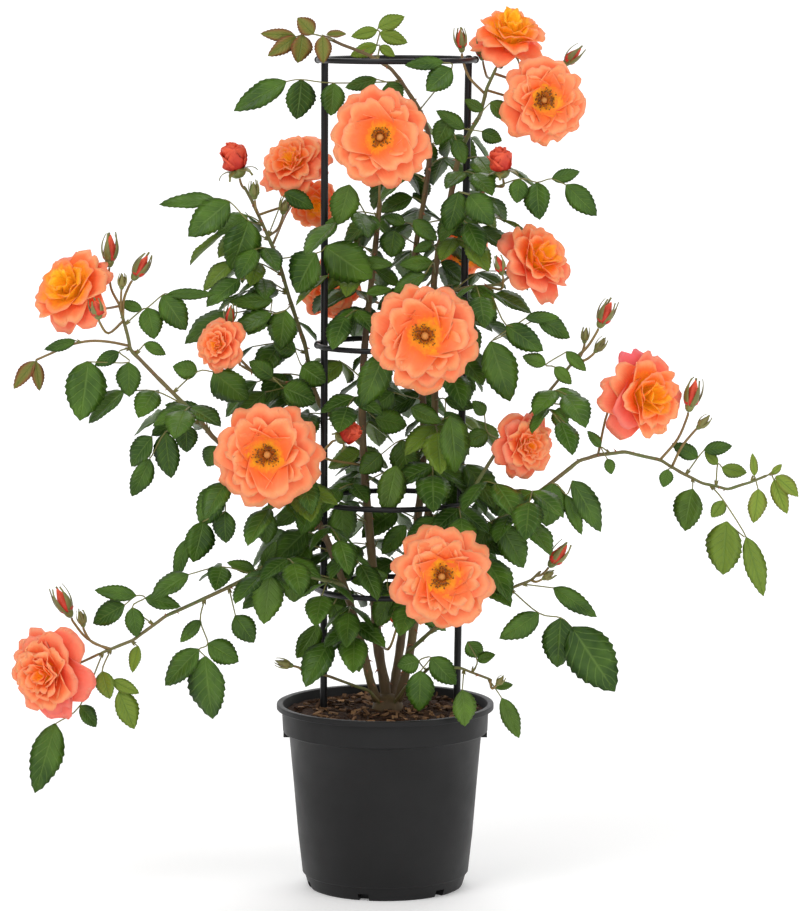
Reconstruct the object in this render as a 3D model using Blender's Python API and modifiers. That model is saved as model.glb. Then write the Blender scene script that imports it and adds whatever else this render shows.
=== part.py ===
"""Climbing rose trained on a ring trellis, standing in a black nursery pot.

The frame is in metres with +Z up. Its origin is the middle of the pot's underside, and the
side seen in the reference picture faces -Y.
"""

import math
import random
from collections import namedtuple

import bmesh
import bpy
from mathutils import Matrix, Vector
from mathutils.bvhtree import BVHTree

# The gap kept between pieces that touch
SEAT_GAP = 0.0003
SEED = 314

# The pot
POT_HEIGHT = 0.171
LIP_RADIUS = 0.100
LIP_HEIGHT = 0.005
COLLAR_RADIUS = 0.0943
COLLAR_BOTTOM = 0.145
WALL_TOP_RADIUS = 0.0886
WALL_FOOT_RADIUS = 0.0766
FOOT_RADIUS = 0.0746
FOOT_HEIGHT = 0.013
BASE_RADIUS = 0.0704
WALL = 0.0022
FLOOR = 0.004
NOTCH_SIZE = (0.016, 0.010, 0.013)
NOTCH_COUNT = 6
FIRST_NOTCH = math.radians(-106)
TAB_SIZE = (0.007, 0.008, 0.006)
TURN_STEPS = 32

# The soil
SOIL_TOP = 0.163
SOIL_CROWN_TOP = 0.165

# The trellis
RING_TUBE = 0.0025
STAKE_RADIUS = 0.0033
STAKE_FOOT = 0.020
STAKE_TOP = 0.765
TRELLIS_FOOT_X = 0.0045
TRELLIS_TOP_X = 0.0107
RING_RADIUS_LOW = 0.0681
RING_RADIUS_TOP = 0.0712
RING_HEIGHTS = {"ring_1_top": 0.761, "ring_2": 0.502, "ring_3": 0.359, "ring_4_low": 0.278}

# The eye that took the reference picture, from which places on it become places in space
EYE = Vector((0.015, -3.836, 0.861))
EYE_PITCH = math.radians(6.85)
FOCAL_PIXELS = 4222.0
MIDDLE_X = 401.5
MIDDLE_Y = 455.5
# Leaves were read on an enlarged sheet, this many sheet units to a picture pixel
SHEET = 1.7223

# Leaves and stems
LEAF_THICKNESS = 0.0010
PETIOLE_RADIUS = 0.0009
PEDICEL_RADIUS = 0.0013
PEDICEL_NECK = 0.005
# A branch is clear of its parent's surface this far along its path
TRIM_REACH = 0.015
BLADE_ROOT = 0.0006
STALK_TAPER = 0.8
STALK_STEPS = 2
# The room that a run takes in tests, as a share of its radius
ROOM_GROWTH = 1.1
# A leaf is tested a little larger than it is built
TEST_GROWTH = 0.02
TEST_WIDTH = 1.05
FILLER_TRIES = 14

# The bloom's section as shares of its radius, and how deep its face is dished
BLOOM_SECTION = [
    (0.0, -0.13), (0.28, -0.13), (1.0, 0.06), (0.94, -0.07), (0.34, -0.27), (0.11, -0.52), (0.0, -0.54),
]
BLOOM_DEPTH = 0.54
STAMEN_RADIUS = 0.20
STAMEN_HEIGHT = 0.09
# The bud's section as shares of its width and length, from tip to foot
BUD_SECTION = [(0.0, 1.0), (0.17, 0.84), (0.50, 0.50), (0.40, 0.24), (0.27, 0.12), (0.0, 0.0)]
BUD_STEPS = 6
BLOOM_STEPS = 15
PETALS_AROUND = 5

Bloom = namedtuple("Bloom", "at depth width turn lift branch node")
Bud = namedtuple("Bud", "at depth length width lean branch node")
Branch = namedtuple("Branch", "parent points start_radius end_radius")
Leaf = namedtuple("Leaf", "branch node depth blades")

# Blooms: picture place, depth, width in pixels, turn and lift of the face in degrees, and the
# branch that bears it with the picture place where its stalk leaves that branch
BLOOMS = {
    "bloom_top": Bloom((509, 38), 0.000, 80, 15, 55, "shoot_top_right", (497, 66)),
    "bloom_top_right": Bloom((545, 100), -0.035, 94, 18, 5, "shoot_top_right", (487, 90)),
    "bloom_upper": Bloom((380, 137), -0.100, 107, 0, 5, "cane_middle", (378, 210)),
    "bloom_behind_stake": Bloom((294, 164), 0.045, 80, -30, 35, "shoot_left_upper", (258, 214)),
    "bloom_upper_back": Bloom((315, 203), 0.075, 56, 5, -15, "shoot_left_upper", (272, 245)),
    "bloom_right_upper": Bloom((533, 262), -0.030, 88, 40, 25, "shoot_right_upper", (500, 285)),
    "bloom_back": Bloom((465, 250), 0.085, 56, 10, 5, "cane_back", (440, 300)),
    "bloom_middle": Bloom((425, 336), -0.130, 115, 0, 4, "cane_right", (435, 352)),
    "bloom_small_left": Bloom((220, 345), -0.050, 60, -30, 10, "shoot_left_mid", (240, 365)),
    "bloom_left": Bloom((267, 455), -0.120, 112, -3, 3, "cane_left", (282, 478)),
    "bloom_low": Bloom((442, 577), -0.150, 110, 3, 3, "cane_right", (424, 545)),
    "bloom_right_small": Bloom((525, 445), -0.070, 75, 32, 0, "shoot_right_mid", (500, 448)),
    "bloom_right": Bloom((641, 396), -0.055, 99, 32, 6, "arch_right", (598, 455)),
    "bloom_far_left": Bloom((74, 291), -0.035, 93, -34, 28, "arch_left", (119, 306)),
    "bloom_low_left": Bloom((49, 673), -0.085, 105, -34, -3, "arch_lower_left", (99, 654)),
    "bloom_inner": Bloom((330, 288), 0.075, 66, -5, 5, "cane_back", (415, 315)),
}
# Blooms that face the viewer show a boss of stamens
OPEN_BLOOMS = ("bloom_top_right", "bloom_upper", "bloom_middle", "bloom_left", "bloom_low")

# Buds: picture place of the middle, depth, length and width in pixels, and the lean from upright
BUDS = {
    "bud_top_left_pair": Bud((461, 41), -0.025, 24, 12, -5, "shoot_top_right", (479, 92)),
    "bud_top_sepal": Bud((481, 50), 0.005, 22, 12, -10, "shoot_top_right", (489, 78)),
    "bud_top_far": Bud((572, 57), 0.020, 26, 13, 45, "shoot_top_right", (492, 72)),
    "bud_right_open": Bud((501, 164), -0.045, 30, 27, -8, "shoot_right_bud", (496, 186)),
    "bud_left_open": Bud((235, 162), -0.005, 34, 30, -15, "shoot_left_upper", (244, 190)),
    "bud_small_a": Bud((254, 191), -0.015, 18, 11, -5, "shoot_left_upper", (258, 214)),
    "bud_far_left_tall": Bud((110, 251), -0.030, 34, 16, 3, "arch_left", (119, 304)),
    "bud_far_left_lean": Bud((140, 268), -0.050, 30, 15, 32, "arch_left", (123, 318)),
    "bud_right_tall": Bud((605, 315), -0.055, 30, 16, 25, "shoot_right_mid", (575, 360)),
    "bud_right_arch": Bud((692, 396), -0.045, 34, 17, 12, "arch_right", (660, 460)),
    "bud_low_left": Bud((64, 603), -0.060, 34, 17, -25, "arch_lower_left", (108, 648)),
    "bud_middle_open": Bud((347, 434), -0.060, 26, 24, 60, "cane_middle", (362, 465)),
    "bud_low_right": Bud((558, 556), -0.070, 30, 16, 38, "shoot_lower_right", (535, 577)),
}
# Small buds that are one with their branch
SMALL_BUDS = (
    Bud((122, 282), -0.055, 16, 9, 5, "arch_left", (121, 312)),
    Bud((585, 336), -0.050, 16, 9, 5, "shoot_right_mid", (571, 367)),
    Bud((600, 346), -0.065, 18, 10, 40, "shoot_right_mid", (575, 362)),
    Bud((703, 423), -0.045, 18, 10, 45, "arch_right", (672, 466)),
    Bud((82, 619), -0.075, 18, 10, -10, "arch_lower_left", (110, 648)),
    Bud((548, 576), -0.080, 14, 9, 60, "shoot_lower_right", (531, 580)),
    Bud((285, 664), -0.045, 18, 10, -75, "shoot_base_left", (300, 670)),
    Bud((284, 207), 0.020, 16, 11, 10, "shoot_left_upper", (268, 236)),
    Bud((398, 619), -0.060, 16, 16, 10, "cane_middle", (376, 640)),
    Bud((230, 316), -0.035, 22, 11, 5, "shoot_left_mid", (252, 372)),
    Bud((500, 266), -0.066, 20, 12, -14, "shoot_right_upper", (486, 286)),
    Bud((500, 681), -0.085, 12, 8, 40, "shoot_base_right", (490, 679)),
    Bud((97, 310), -0.088, 20, 15, -12, "arch_left", (121, 322)),
)

# Branches: parent, hand-read points of picture x, picture y and depth, and the end radii
BRANCHES = {
    "cane_left": Branch(
        "crown",
        [
            (377, 700, -0.003), (370, 680, -0.009), (363, 650, -0.016), (350, 603, -0.030),
            (329, 545, -0.035), (310, 508, -0.042), (288, 482, -0.048), (252, 461, -0.050),
            (224, 447, -0.050),
        ],
        0.0040, 0.0024,
    ),
    "cane_middle": Branch(
        "crown",
        [
            (386, 701, 0.004), (384, 680, 0.006), (377, 640, 0.008), (373, 570, 0.008),
            (365, 480, 0.004), (362, 400, 0.006), (366, 330, 0.008), (374, 260, 0.004),
            (380, 200, -0.006),
        ],
        0.0048, 0.0022,
    ),
    "cane_right": Branch(
        "crown",
        [
            (398, 700, -0.003), (404, 680, -0.008), (412, 640, -0.012), (420, 570, -0.012),
            (430, 500, -0.008), (435, 400, 0.000), (434, 280, 0.006), (445, 225, 0.004),
            (457, 165, -0.006), (463, 145, -0.010),
        ],
        0.0042, 0.0024,
    ),
    "cane_back": Branch(
        "crown",
        [
            (390, 702, 0.013), (395, 680, 0.024), (404, 620, 0.036), (415, 540, 0.042),
            (424, 450, 0.044), (420, 360, 0.044), (412, 280, 0.040), (424, 200, 0.030),
            (430, 150, 0.022), (424, 119, 0.010), (408, 92, 0.002), (391, 69, -0.002),
            (366, 54, -0.004), (343, 45, -0.006), (324, 36, -0.010),
        ],
        0.0042, 0.0014,
    ),
    "shoot_top_right": Branch(
        "cane_right",
        [(463, 145, -0.010), (470, 132, -0.020), (480, 115, -0.024), (487, 88, -0.022), (497, 66, -0.014)],
        0.0022, 0.0014,
    ),
    "shoot_right_bud": Branch(
        "cane_right",
        [(448, 212, 0.000), (458, 204, -0.012), (475, 196, -0.028), (496, 186, -0.040)],
        0.0016, 0.0012,
    ),
    "shoot_right_upper": Branch(
        "cane_right",
        [(434, 300, 0.004), (448, 292, -0.014), (470, 287, -0.030), (486, 286, -0.034), (502, 284, -0.034)],
        0.0018, 0.0013,
    ),
    "shoot_right_mid": Branch(
        "cane_right",
        [
            (428, 530, -0.010), (442, 524, -0.030), (457, 512, -0.050), (470, 494, -0.058),
            (481, 476, -0.058), (500, 446, -0.058), (532, 412, -0.055), (556, 383, -0.055),
            (582, 351, -0.055),
        ],
        0.0020, 0.0012,
    ),
    "arch_right": Branch(
        "cane_right",
        [
            (414, 612, -0.012), (430, 590, -0.034), (450, 560, -0.056), (480, 530, -0.060),
            (512, 511, -0.060), (546, 487, -0.060), (579, 461, -0.055), (598, 455, -0.050),
            (625, 452, -0.045), (660, 460, -0.040), (682, 473, -0.036), (702, 483, -0.034),
            (728, 489, -0.032), (751, 482, -0.030), (768, 475, -0.030),
        ],
        0.0024, 0.0012,
    ),
    "shoot_lower_right": Branch(
        "cane_right",
        [
            (408, 652, -0.012), (428, 634, -0.040), (455, 612, -0.064), (480, 598, -0.072),
            (504, 591, -0.074), (531, 580, -0.074), (541, 571, -0.074),
        ],
        0.0020, 0.0012,
    ),
    "shoot_base_right": Branch(
        "crown",
        [(393, 705, -0.007), (405, 688, -0.026), (430, 668, -0.052), (460, 668, -0.072), (492, 680, -0.080)],
        0.0017, 0.0011,
    ),
    "shoot_base_left": Branch(
        "crown",
        [(382, 705, -0.007), (369, 691, -0.022), (350, 684, -0.032), (328, 676, -0.040), (302, 670, -0.045)],
        0.0016, 0.0011,
    ),
    "arch_lower_left": Branch(
        "cane_left",
        [
            (346, 591, -0.031), (341, 584, -0.050), (331, 582, -0.063), (309, 576, -0.066),
            (278, 569, -0.066), (251, 576, -0.066), (225, 589, -0.066), (199, 601, -0.068),
            (166, 616, -0.070), (133, 640, -0.070), (99, 654, -0.070),
        ],
        0.0022, 0.0014,
    ),
    "arch_left": Branch(
        "cane_left",
        [
            (224, 447, -0.050), (212, 436, -0.050), (199, 419, -0.050), (182, 402, -0.050),
            (156, 376, -0.050), (131, 350, -0.048), (127, 333, -0.046), (119, 304, -0.045),
        ],
        0.0023, 0.0014,
    ),
    "shoot_left_upper": Branch(
        "cane_middle",
        [
            (363, 445, 0.004), (345, 428, 0.018), (321, 407, 0.024), (313, 386, 0.022),
            (305, 345, 0.018), (290, 300, 0.010), (278, 259, 0.005), (263, 225, 0.000),
            (252, 201, 0.000), (244, 186, -0.002),
        ],
        0.0025, 0.0014,
    ),
    "shoot_left_mid": Branch(
        "shoot_left_upper",
        [(313, 386, 0.022), (302, 385, 0.008), (285, 383, -0.014), (262, 377, -0.034), (240, 365, -0.046)],
        0.0017, 0.0012,
    ),
}
# The thin side branch of the left arch
SIDE_BRANCH = ("arch_left", [(130, 346, -0.047), (110, 342, -0.046), (90, 341, -0.045), (70, 345, -0.044),
                             (52, 353, -0.042), (36, 360, -0.040)])

# Leaves: branch, sheet place of the leaf's node, depth of its blades, and for each blade the
# sheet places of base and tip and its width. The first blade is the one at the leaf's end.
LEAVES = (
    Leaf("cane_back", (562, 66), -0.010, [(508, 61, 449, 59, 22), (510, 63, 462, 97, 26),
                                          (521, 60, 515, 109, 36), (540, 59, 513, 30, 32)]),
    Leaf("cane_back", (575, 71), -0.026, [(556, 62, 557, 109, 30)]),
    Leaf("cane_back", (578, 72), 0.008, [(562, 60, 597, 57, 15)]),
    Leaf("cane_back", (648, 105), 0.010, [(651, 48, 697, 28, 28), (654, 56, 702, 74, 26),
                                          (650, 52, 605, 63, 22), (649, 77, 604, 97, 24),
                                          (654, 79, 680, 97, 18)]),
    Leaf("cane_back", (690, 142), -0.022, [(493, 140, 402, 190, 42), (519, 137, 512, 206, 50),
                                           (575, 143, 570, 200, 42)]),
    Leaf("cane_back", (700, 155), -0.040, [(649, 136, 594, 152, 24), (668, 142, 688, 178, 40)]),
    Leaf("cane_back", (725, 190), -0.088, [(764, 107, 697, 112, 24), (778, 118, 734, 156, 44)]),
    Leaf("shoot_top_right", (822, 210), -0.040, [(845, 175, 878, 205, 30), (832, 190, 800, 172, 20)]),
    Leaf("shoot_top_right", (812, 224), -0.030, [(830, 226, 864, 244, 26), (800, 222, 752, 190, 26)]),
    Leaf("cane_right", (790, 270), -0.030, [(775, 205, 750, 250, 38), (785, 240, 800, 282, 30)]),
    Leaf("shoot_right_bud", (838, 325), -0.055, [(975, 318, 1028, 372, 40), (950, 308, 1000, 296, 24),
                                                 (925, 314, 928, 378, 45), (895, 308, 890, 350, 34)]),
    Leaf("shoot_right_bud", (820, 338), -0.062, [(808, 335, 848, 386, 50), (790, 330, 772, 400, 48)]),
    Leaf("shoot_right_upper", (840, 492), -0.060, [(925, 548, 985, 580, 36), (905, 548, 962, 545, 22),
                                                   (872, 560, 935, 605, 42), (845, 588, 880, 692, 62)]),
    Leaf("shoot_right_mid", (930, 692), -0.060, [(962, 702, 970, 743, 30), (985, 700, 1010, 735, 22)]),
    Leaf("shoot_right_mid", (965, 652), -0.064, [(975, 605, 1010, 640, 22), (940, 628, 900, 612, 26),
                                                 (955, 632, 985, 662, 24)]),
    Leaf("shoot_right_mid", (870, 760), -0.050, [(835, 715, 815, 690, 24), (840, 745, 800, 765, 34)]),
    Leaf("arch_right", (1195, 820), -0.048, [(1193, 842, 1178, 915, 50)]),
    Leaf("arch_right", (1222, 836), -0.040, [(1252, 898, 1243, 992, 62), (1285, 925, 1317, 1028, 38),
                                             (1246, 862, 1226, 892, 26)]),
    Leaf("arch_right", (1160, 800), -0.052, [(1150, 808, 1143, 840, 25)]),
    Leaf("arch_right", (1185, 812), -0.030, [(1212, 775, 1262, 768, 25), (1202, 788, 1158, 764, 28)]),
    Leaf("arch_right", (1232, 838), -0.024, [(1243, 805, 1287, 816, 26), (1236, 800, 1214, 778, 18)]),
    Leaf("arch_right", (1295, 832), -0.030, [(1306, 842, 1300, 902, 34), (1299, 820, 1297, 780, 15)]),
    Leaf("arch_right", (1322, 818), -0.030, [(1336, 820, 1377, 853, 28), (1333, 826, 1355, 886, 28),
                                             (1328, 816, 1348, 800, 13)]),
    Leaf("arch_right", (1050, 778), -0.054, [(1046, 790, 1054, 817, 20), (1035, 770, 1012, 742, 18)]),
    Leaf("arch_right", (905, 868), -0.066, [(985, 828, 1039, 916, 44), (952, 832, 942, 908, 60),
                                            (975, 852, 1003, 923, 26)]),
    Leaf("arch_right", (850, 900), -0.060, [(862, 905, 905, 978, 52), (845, 900, 822, 945, 34)]),
    Leaf("shoot_lower_right", (900, 1010), -0.074, [(953, 1012, 1028, 1062, 34)]),
    Leaf("shoot_lower_right", (880, 1018), -0.080, [(985, 1080, 1058, 1191, 84), (966, 1064, 959, 1153, 60),
                                                    (928, 1056, 862, 1102, 42)]),
    Leaf("shoot_base_right", (732, 1152), -0.066, [(724, 1155, 722, 1226, 50), (742, 1132, 786, 1180, 42),
                                                   (722, 1138, 684, 1148, 36)]),
    Leaf("shoot_base_right", (800, 1152), -0.092, [(796, 1188, 802, 1252, 42)]),
    Leaf("shoot_base_right", (840, 1168), -0.072, [(864, 1202, 896, 1273, 32), (852, 1184, 884, 1178, 16)]),
    Leaf("shoot_base_right", (815, 1155), -0.070, [(805, 1105, 830, 1132, 32), (822, 1138, 852, 1126, 20)]),
    Leaf("arch_lower_left", (500, 980), -0.068, [(503, 976, 506, 1038, 46)]),
    Leaf("arch_lower_left", (472, 980), -0.078, [(466, 988, 455, 1076, 54)]),
    Leaf("arch_lower_left", (440, 990), -0.062, [(440, 983, 392, 967, 22), (452, 975, 476, 934, 24)]),
    Leaf("arch_lower_left", (395, 1012), -0.070, [(405, 1060, 438, 1107, 42)]),
    Leaf("arch_lower_left", (352, 1030), -0.066, [(354, 1130, 362, 1241, 66), (343, 1118, 281, 1181, 44),
                                                  (358, 1108, 412, 1140, 44), (345, 1068, 310, 1106, 24)]),
    Leaf("arch_lower_left", (265, 1074), -0.074, [(215, 1042, 158, 1073, 40), (235, 1026, 163, 1016, 28),
                                                  (228, 1046, 236, 1098, 34), (250, 1030, 311, 1044, 28)]),
    Leaf("arch_lower_left", (225, 1104), -0.066, [(238, 1112, 226, 1158, 22)]),
    Leaf("arch_lower_left", (190, 1118), -0.060, [(205, 1190, 233, 1256, 40), (193, 1172, 240, 1194, 24),
                                                  (176, 1156, 188, 1204, 34)]),
    Leaf("arch_lower_left", (178, 1122), -0.045, [(95, 1246, 61, 1366, 56), (138, 1215, 168, 1252, 28)]),
    Leaf("arch_left", (225, 600), -0.056, [(152, 622, 140, 724, 70), (222, 624, 222, 684, 44),
                                           (205, 606, 163, 630, 25)]),
    Leaf("arch_left", (215, 560), -0.040, [(288, 506, 370, 507, 20), (280, 508, 321, 569, 48),
                                           (254, 530, 266, 584, 42), (245, 533, 204, 520, 20)]),
    Leaf("arch_left", (232, 612), -0.052, [(248, 592, 287, 610, 22)]),
    Leaf("arch_left", (62, 620), -0.040, [(60, 622, 22, 669, 26), (62, 623, 69, 673, 22)]),
    Leaf("arch_left", (140, 588), -0.050, [(130, 586, 76, 604, 20)]),
    Leaf("arch_left", (300, 672), -0.044, [(368, 640, 426, 692, 58), (340, 640, 298, 632, 34)]),
    Leaf("arch_left", (345, 724), -0.056, [(262, 752, 222, 803, 40), (258, 790, 228, 858, 36),
                                           (285, 744, 292, 826, 46), (320, 732, 322, 779, 40)]),
    Leaf("arch_left", (360, 745), -0.046, [(352, 712, 284, 695, 28)]),
    Leaf("cane_left", (400, 778), -0.058, [(372, 768, 355, 804, 34)]),
    Leaf("cane_left", (432, 795), -0.052, [(322, 928, 300, 1001, 26), (350, 898, 335, 969, 50),
                                           (388, 880, 387, 936, 42), (382, 838, 344, 906, 52)]),
    Leaf("cane_left", (500, 832), -0.040, [(457, 878, 458, 938, 44)]),
    Leaf("cane_left", (545, 895), -0.062, [(540, 858, 520, 922, 46)]),
    Leaf("cane_left", (590, 1000), -0.056, [(548, 1075, 512, 1136, 38), (575, 1040, 600, 1090, 40)]),
    Leaf("shoot_left_upper", (455, 388), -0.020, [(372, 344, 271, 347, 28), (395, 347, 324, 406, 56),
                                                  (428, 380, 400, 466, 62)]),
    Leaf("shoot_left_upper", (480, 446), -0.036, [(560, 424, 642, 482, 72), (545, 436, 505, 504, 64)]),
    Leaf("shoot_left_upper", (505, 522), -0.018, [(470, 517, 394, 522, 30), (468, 540, 394, 571, 34),
                                                  (492, 534, 480, 602, 54)]),
    Leaf("shoot_left_upper", (462, 408), 0.018, [(490, 332, 541, 358, 32)]),
    Leaf("shoot_left_upper", (530, 620), 0.000, [(510, 605, 470, 590, 36), (520, 630, 560, 660, 50)]),
    Leaf("shoot_left_mid", (490, 662), -0.034, [(488, 668, 545, 692, 50), (470, 650, 430, 622, 36)]),
    Leaf("cane_middle", (640, 400), -0.052, [(602, 318, 582, 389, 50)]),
    Leaf("cane_middle", (625, 640), -0.062, [(662, 608, 624, 702, 56)]),
    Leaf("cane_middle", (622, 770), -0.060, [(690, 755, 724, 829, 60), (680, 704, 672, 757, 48)]),
    Leaf("cane_middle", (628, 830), -0.050, [(682, 802, 664, 887, 50)]),
    Leaf("cane_middle", (636, 900), -0.058, [(587, 864, 593, 942, 48)]),
    Leaf("cane_right", (745, 730), -0.080, [(775, 716, 790, 816, 54)]),
    Leaf("cane_right", (715, 1040), -0.086, [(668, 992, 604, 1000, 34), (672, 1022, 650, 1080, 44)]),
    Leaf("cane_middle", (626, 700), -0.010, [(646, 721, 703, 733, 43)]),
    Leaf("cane_back", (727, 690), 0.000, [(677, 675, 637, 709, 40)]),
    Leaf("cane_back", (735, 760), -0.006, [(657, 782, 620, 815, 40), (691, 758, 706, 827, 54)]),
    Leaf("cane_back", (725, 800), -0.004, [(723, 815, 742, 858, 30)]),
    Leaf("cane_right", (745, 850), -0.014, [(680, 878, 646, 907, 34), (737, 876, 691, 888, 32)]),
    Leaf("cane_back", (722, 930), 0.004, [(699, 905, 656, 955, 34)]),
    Leaf("cane_right", (748, 715), -0.016, [(708, 702, 760, 727, 34)]),
    Leaf("cane_right", (750, 690), -0.032, [(766, 709, 806, 752, 28), (766, 687, 819, 701, 28)]),
    Leaf("cane_back", (712, 420), -0.012, [(679, 397, 673, 444, 46)]),
    Leaf("cane_middle", (648, 400), -0.022, [(656, 388, 613, 379, 27)]),
    Leaf("cane_back", (716, 385), -0.006, [(698, 384, 660, 372, 23)]),
    Leaf("cane_right", (750, 400), -0.030, [(712, 379, 753, 415, 30)]),
    Leaf("cane_right", (748, 430), -0.018, [(744, 417, 712, 434, 19)]),
    Leaf("cane_right", (747, 470), -0.034, [(733, 473, 675, 500, 31), (746, 452, 688, 457, 29)]),
    Leaf("cane_middle", (636, 470), -0.014, [(621, 452, 677, 455, 25)]),
    Leaf("cane_middle", (634, 520), -0.020, [(631, 505, 675, 496, 20)]),
)
# Room kept free of leaves: a box inside each ring and one in the pot's mouth, as lowest and highest corners
FREE_ROOM = {
    "ring_1_inside": ((0.0112, -0.0475, 0.7558), (0.0582, 0.0475, 0.7662)),
    "ring_2_inside": ((-0.014, -0.034, 0.4968), (0.024, 0.061, 0.5072)),
    "ring_3_inside": ((-0.011, -0.055, 0.3538), (0.0345, 0.0295, 0.3642)),
    "ring_4_inside": ((-0.0043, -0.007, 0.2728), (0.0592, 0.034, 0.2832)),
    "pot_mouth": ((-0.052, -0.073, 0.166), (-0.014, 0.073, 0.176)),
}
# Leaves that fill the middle: how many on each branch, and the part of it that they grow on
FILLERS = {
    "cane_middle": (14, 0.25, 0.98),
    "cane_right": (14, 0.22, 0.98),
    "cane_back": (18, 0.15, 0.80),
    "cane_left": (6, 0.30, 0.85),
    "shoot_left_upper": (6, 0.20, 0.85),
    "shoot_right_upper": (3, 0.25, 0.90),
    "shoot_right_mid": (4, 0.20, 0.80),
    "arch_right": (2, 0.10, 0.40),
    "arch_lower_left": (2, 0.10, 0.35),
}

def clear_scene():
    """Remove what a new file holds."""
    for item in list(bpy.data.objects):
        bpy.data.objects.remove(item, do_unlink=True)


def make_collection(name):
    """A collection in the scene."""
    collection = bpy.data.collections.new(name)
    bpy.context.scene.collection.children.link(collection)
    return collection


def make_material(name, colour, roughness, metallic=0.0):
    """A plain Principled material."""
    material = bpy.data.materials.new(name)
    material.use_nodes = True
    shader = material.node_tree.nodes["Principled BSDF"]
    shader.inputs["Base Color"].default_value = (*colour, 1.0)
    shader.inputs["Roughness"].default_value = roughness
    shader.inputs["Metallic"].default_value = metallic
    material.diffuse_color = (*colour, 1.0)
    return material


def seen_at(x, y, depth):
    """The point at this depth that shows at picture pixel x, y."""
    across = (x - MIDDLE_X) / FOCAL_PIXELS
    upward = (MIDDLE_Y - y) / FOCAL_PIXELS
    ahead = math.cos(EYE_PITCH) + upward * math.sin(EYE_PITCH)
    rise = upward * math.cos(EYE_PITCH) - math.sin(EYE_PITCH)
    reach = (depth - EYE.y) / ahead
    return EYE + Vector((across, ahead, rise)) * reach


def seen_on_sheet(x, y, depth):
    """The point at this depth that shows at this place on the enlarged sheet."""
    return seen_at(x / SHEET, y / SHEET, depth)


def picture_place(point):
    """The picture pixel at which a point shows."""
    ray = point - EYE
    ahead = ray.y * math.cos(EYE_PITCH) - ray.z * math.sin(EYE_PITCH)
    upward = ray.y * math.sin(EYE_PITCH) + ray.z * math.cos(EYE_PITCH)
    return MIDDLE_X + FOCAL_PIXELS * ray.x / ahead, MIDDLE_Y - FOCAL_PIXELS * upward / ahead


def pixel_size(depth):
    """The size in metres of one picture pixel at this depth."""
    return (depth - EYE.y) / FOCAL_PIXELS


def evaluated_mesh(item):
    """A copy of an object's mesh with its modifiers applied, in world space."""
    graph = bpy.context.evaluated_depsgraph_get()
    mesh = bpy.data.meshes.new_from_object(item.evaluated_get(graph), depsgraph=graph)
    mesh.transform(item.matrix_world)
    return mesh


def surface_of(item):
    """A search tree over an object's faces."""
    mesh = evaluated_mesh(item)
    corners = [vertex.co.copy() for vertex in mesh.vertices]
    tree = BVHTree.FromPolygons(corners, [tuple(face.vertices) for face in mesh.polygons])
    bpy.data.meshes.remove(mesh)
    return tree


class Space:
    """The solids placed so far, to keep new ones clear of them."""

    def __init__(self):
        self.solids = []

    def add(self, owner, tree, corners):
        """Remember a solid by its owner's name, its faces and the box around it."""
        low = [min(corner[axis] for corner in corners) for axis in range(3)]
        high = [max(corner[axis] for corner in corners) for axis in range(3)]
        self.solids.append((owner, tree, low, high))

    def add_object(self, owner, item):
        """Remember an object."""
        mesh = evaluated_mesh(item)
        corners = [vertex.co.copy() for vertex in mesh.vertices]
        faces = [tuple(face.vertices) for face in mesh.polygons]
        self.add(owner, BVHTree.FromPolygons(corners, faces), corners)
        bpy.data.meshes.remove(mesh)

    def add_run(self, owner, path, radius, sides):
        """Remember a round run as one prism for each step of its path."""
        for start, end in zip(path, path[1:]):
            way = (end - start).normalized()
            spoke = way.orthogonal().normalized() * radius
            ring = [Matrix.Rotation(turn * math.tau / sides, 3, way) @ spoke for turn in range(sides)]
            corners = [start + turn for turn in ring] + [end + turn for turn in ring]
            faces = [(i, (i + 1) % sides, (i + 1) % sides + sides, i + sides) for i in range(sides)]
            faces += [tuple(range(sides - 1, -1, -1)), tuple(range(sides, 2 * sides))]
            self.add(owner, BVHTree.FromPolygons(corners, faces), corners)

    def add_box(self, owner, low, high):
        """Remember a box by its lowest and highest corners."""
        shape = bmesh.new()
        middle = (Vector(low) + Vector(high)) / 2
        size = Vector(high) - Vector(low)
        place = Matrix.Translation(middle) @ Matrix.Diagonal((*size, 1.0))
        bmesh.ops.create_cube(shape, size=1.0, matrix=place)
        corners = [vertex.co.copy() for vertex in shape.verts]
        self.add(owner, BVHTree.FromBMesh(shape), corners)
        shape.free()

    def near(self, low, high, skip):
        """The solids whose boxes meet a box."""
        for owner, tree, other_low, other_high in self.solids:
            if owner in skip:
                continue
            if all(other_low[a] < high[a] and low[a] < other_high[a] for a in range(3)):
                yield tree

    def blade_is_clear(self, corners, faces, skip=()):
        """Whether a blade crosses nothing."""
        low = [min(corner[axis] for corner in corners) for axis in range(3)]
        high = [max(corner[axis] for corner in corners) for axis in range(3)]
        blade = BVHTree.FromPolygons(corners, faces)
        return not any(tree.overlap(blade) for tree in self.near(low, high, skip))

    def stalk_is_clear(self, points, radius, skip=()):
        """Whether a round stalk along these points stays clear of everything."""
        reach = radius + 2 * SEAT_GAP
        low = [min(point[axis] for point in points) - reach for axis in range(3)]
        high = [max(point[axis] for point in points) + reach for axis in range(3)]
        samples = dense_points(points, 0.0015)
        for tree in self.near(low, high, skip):
            if any(tree.find_nearest(sample, reach)[0] is not None for sample in samples):
                return False
        return True


def dense_points(points, step):
    """Points along a path, no further apart than the step."""
    samples = [points[0]]
    for start, end in zip(points, points[1:]):
        count = max(1, math.ceil((end - start).length / step))
        samples += [start.lerp(end, index / count) for index in range(1, count + 1)]
    return samples


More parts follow.
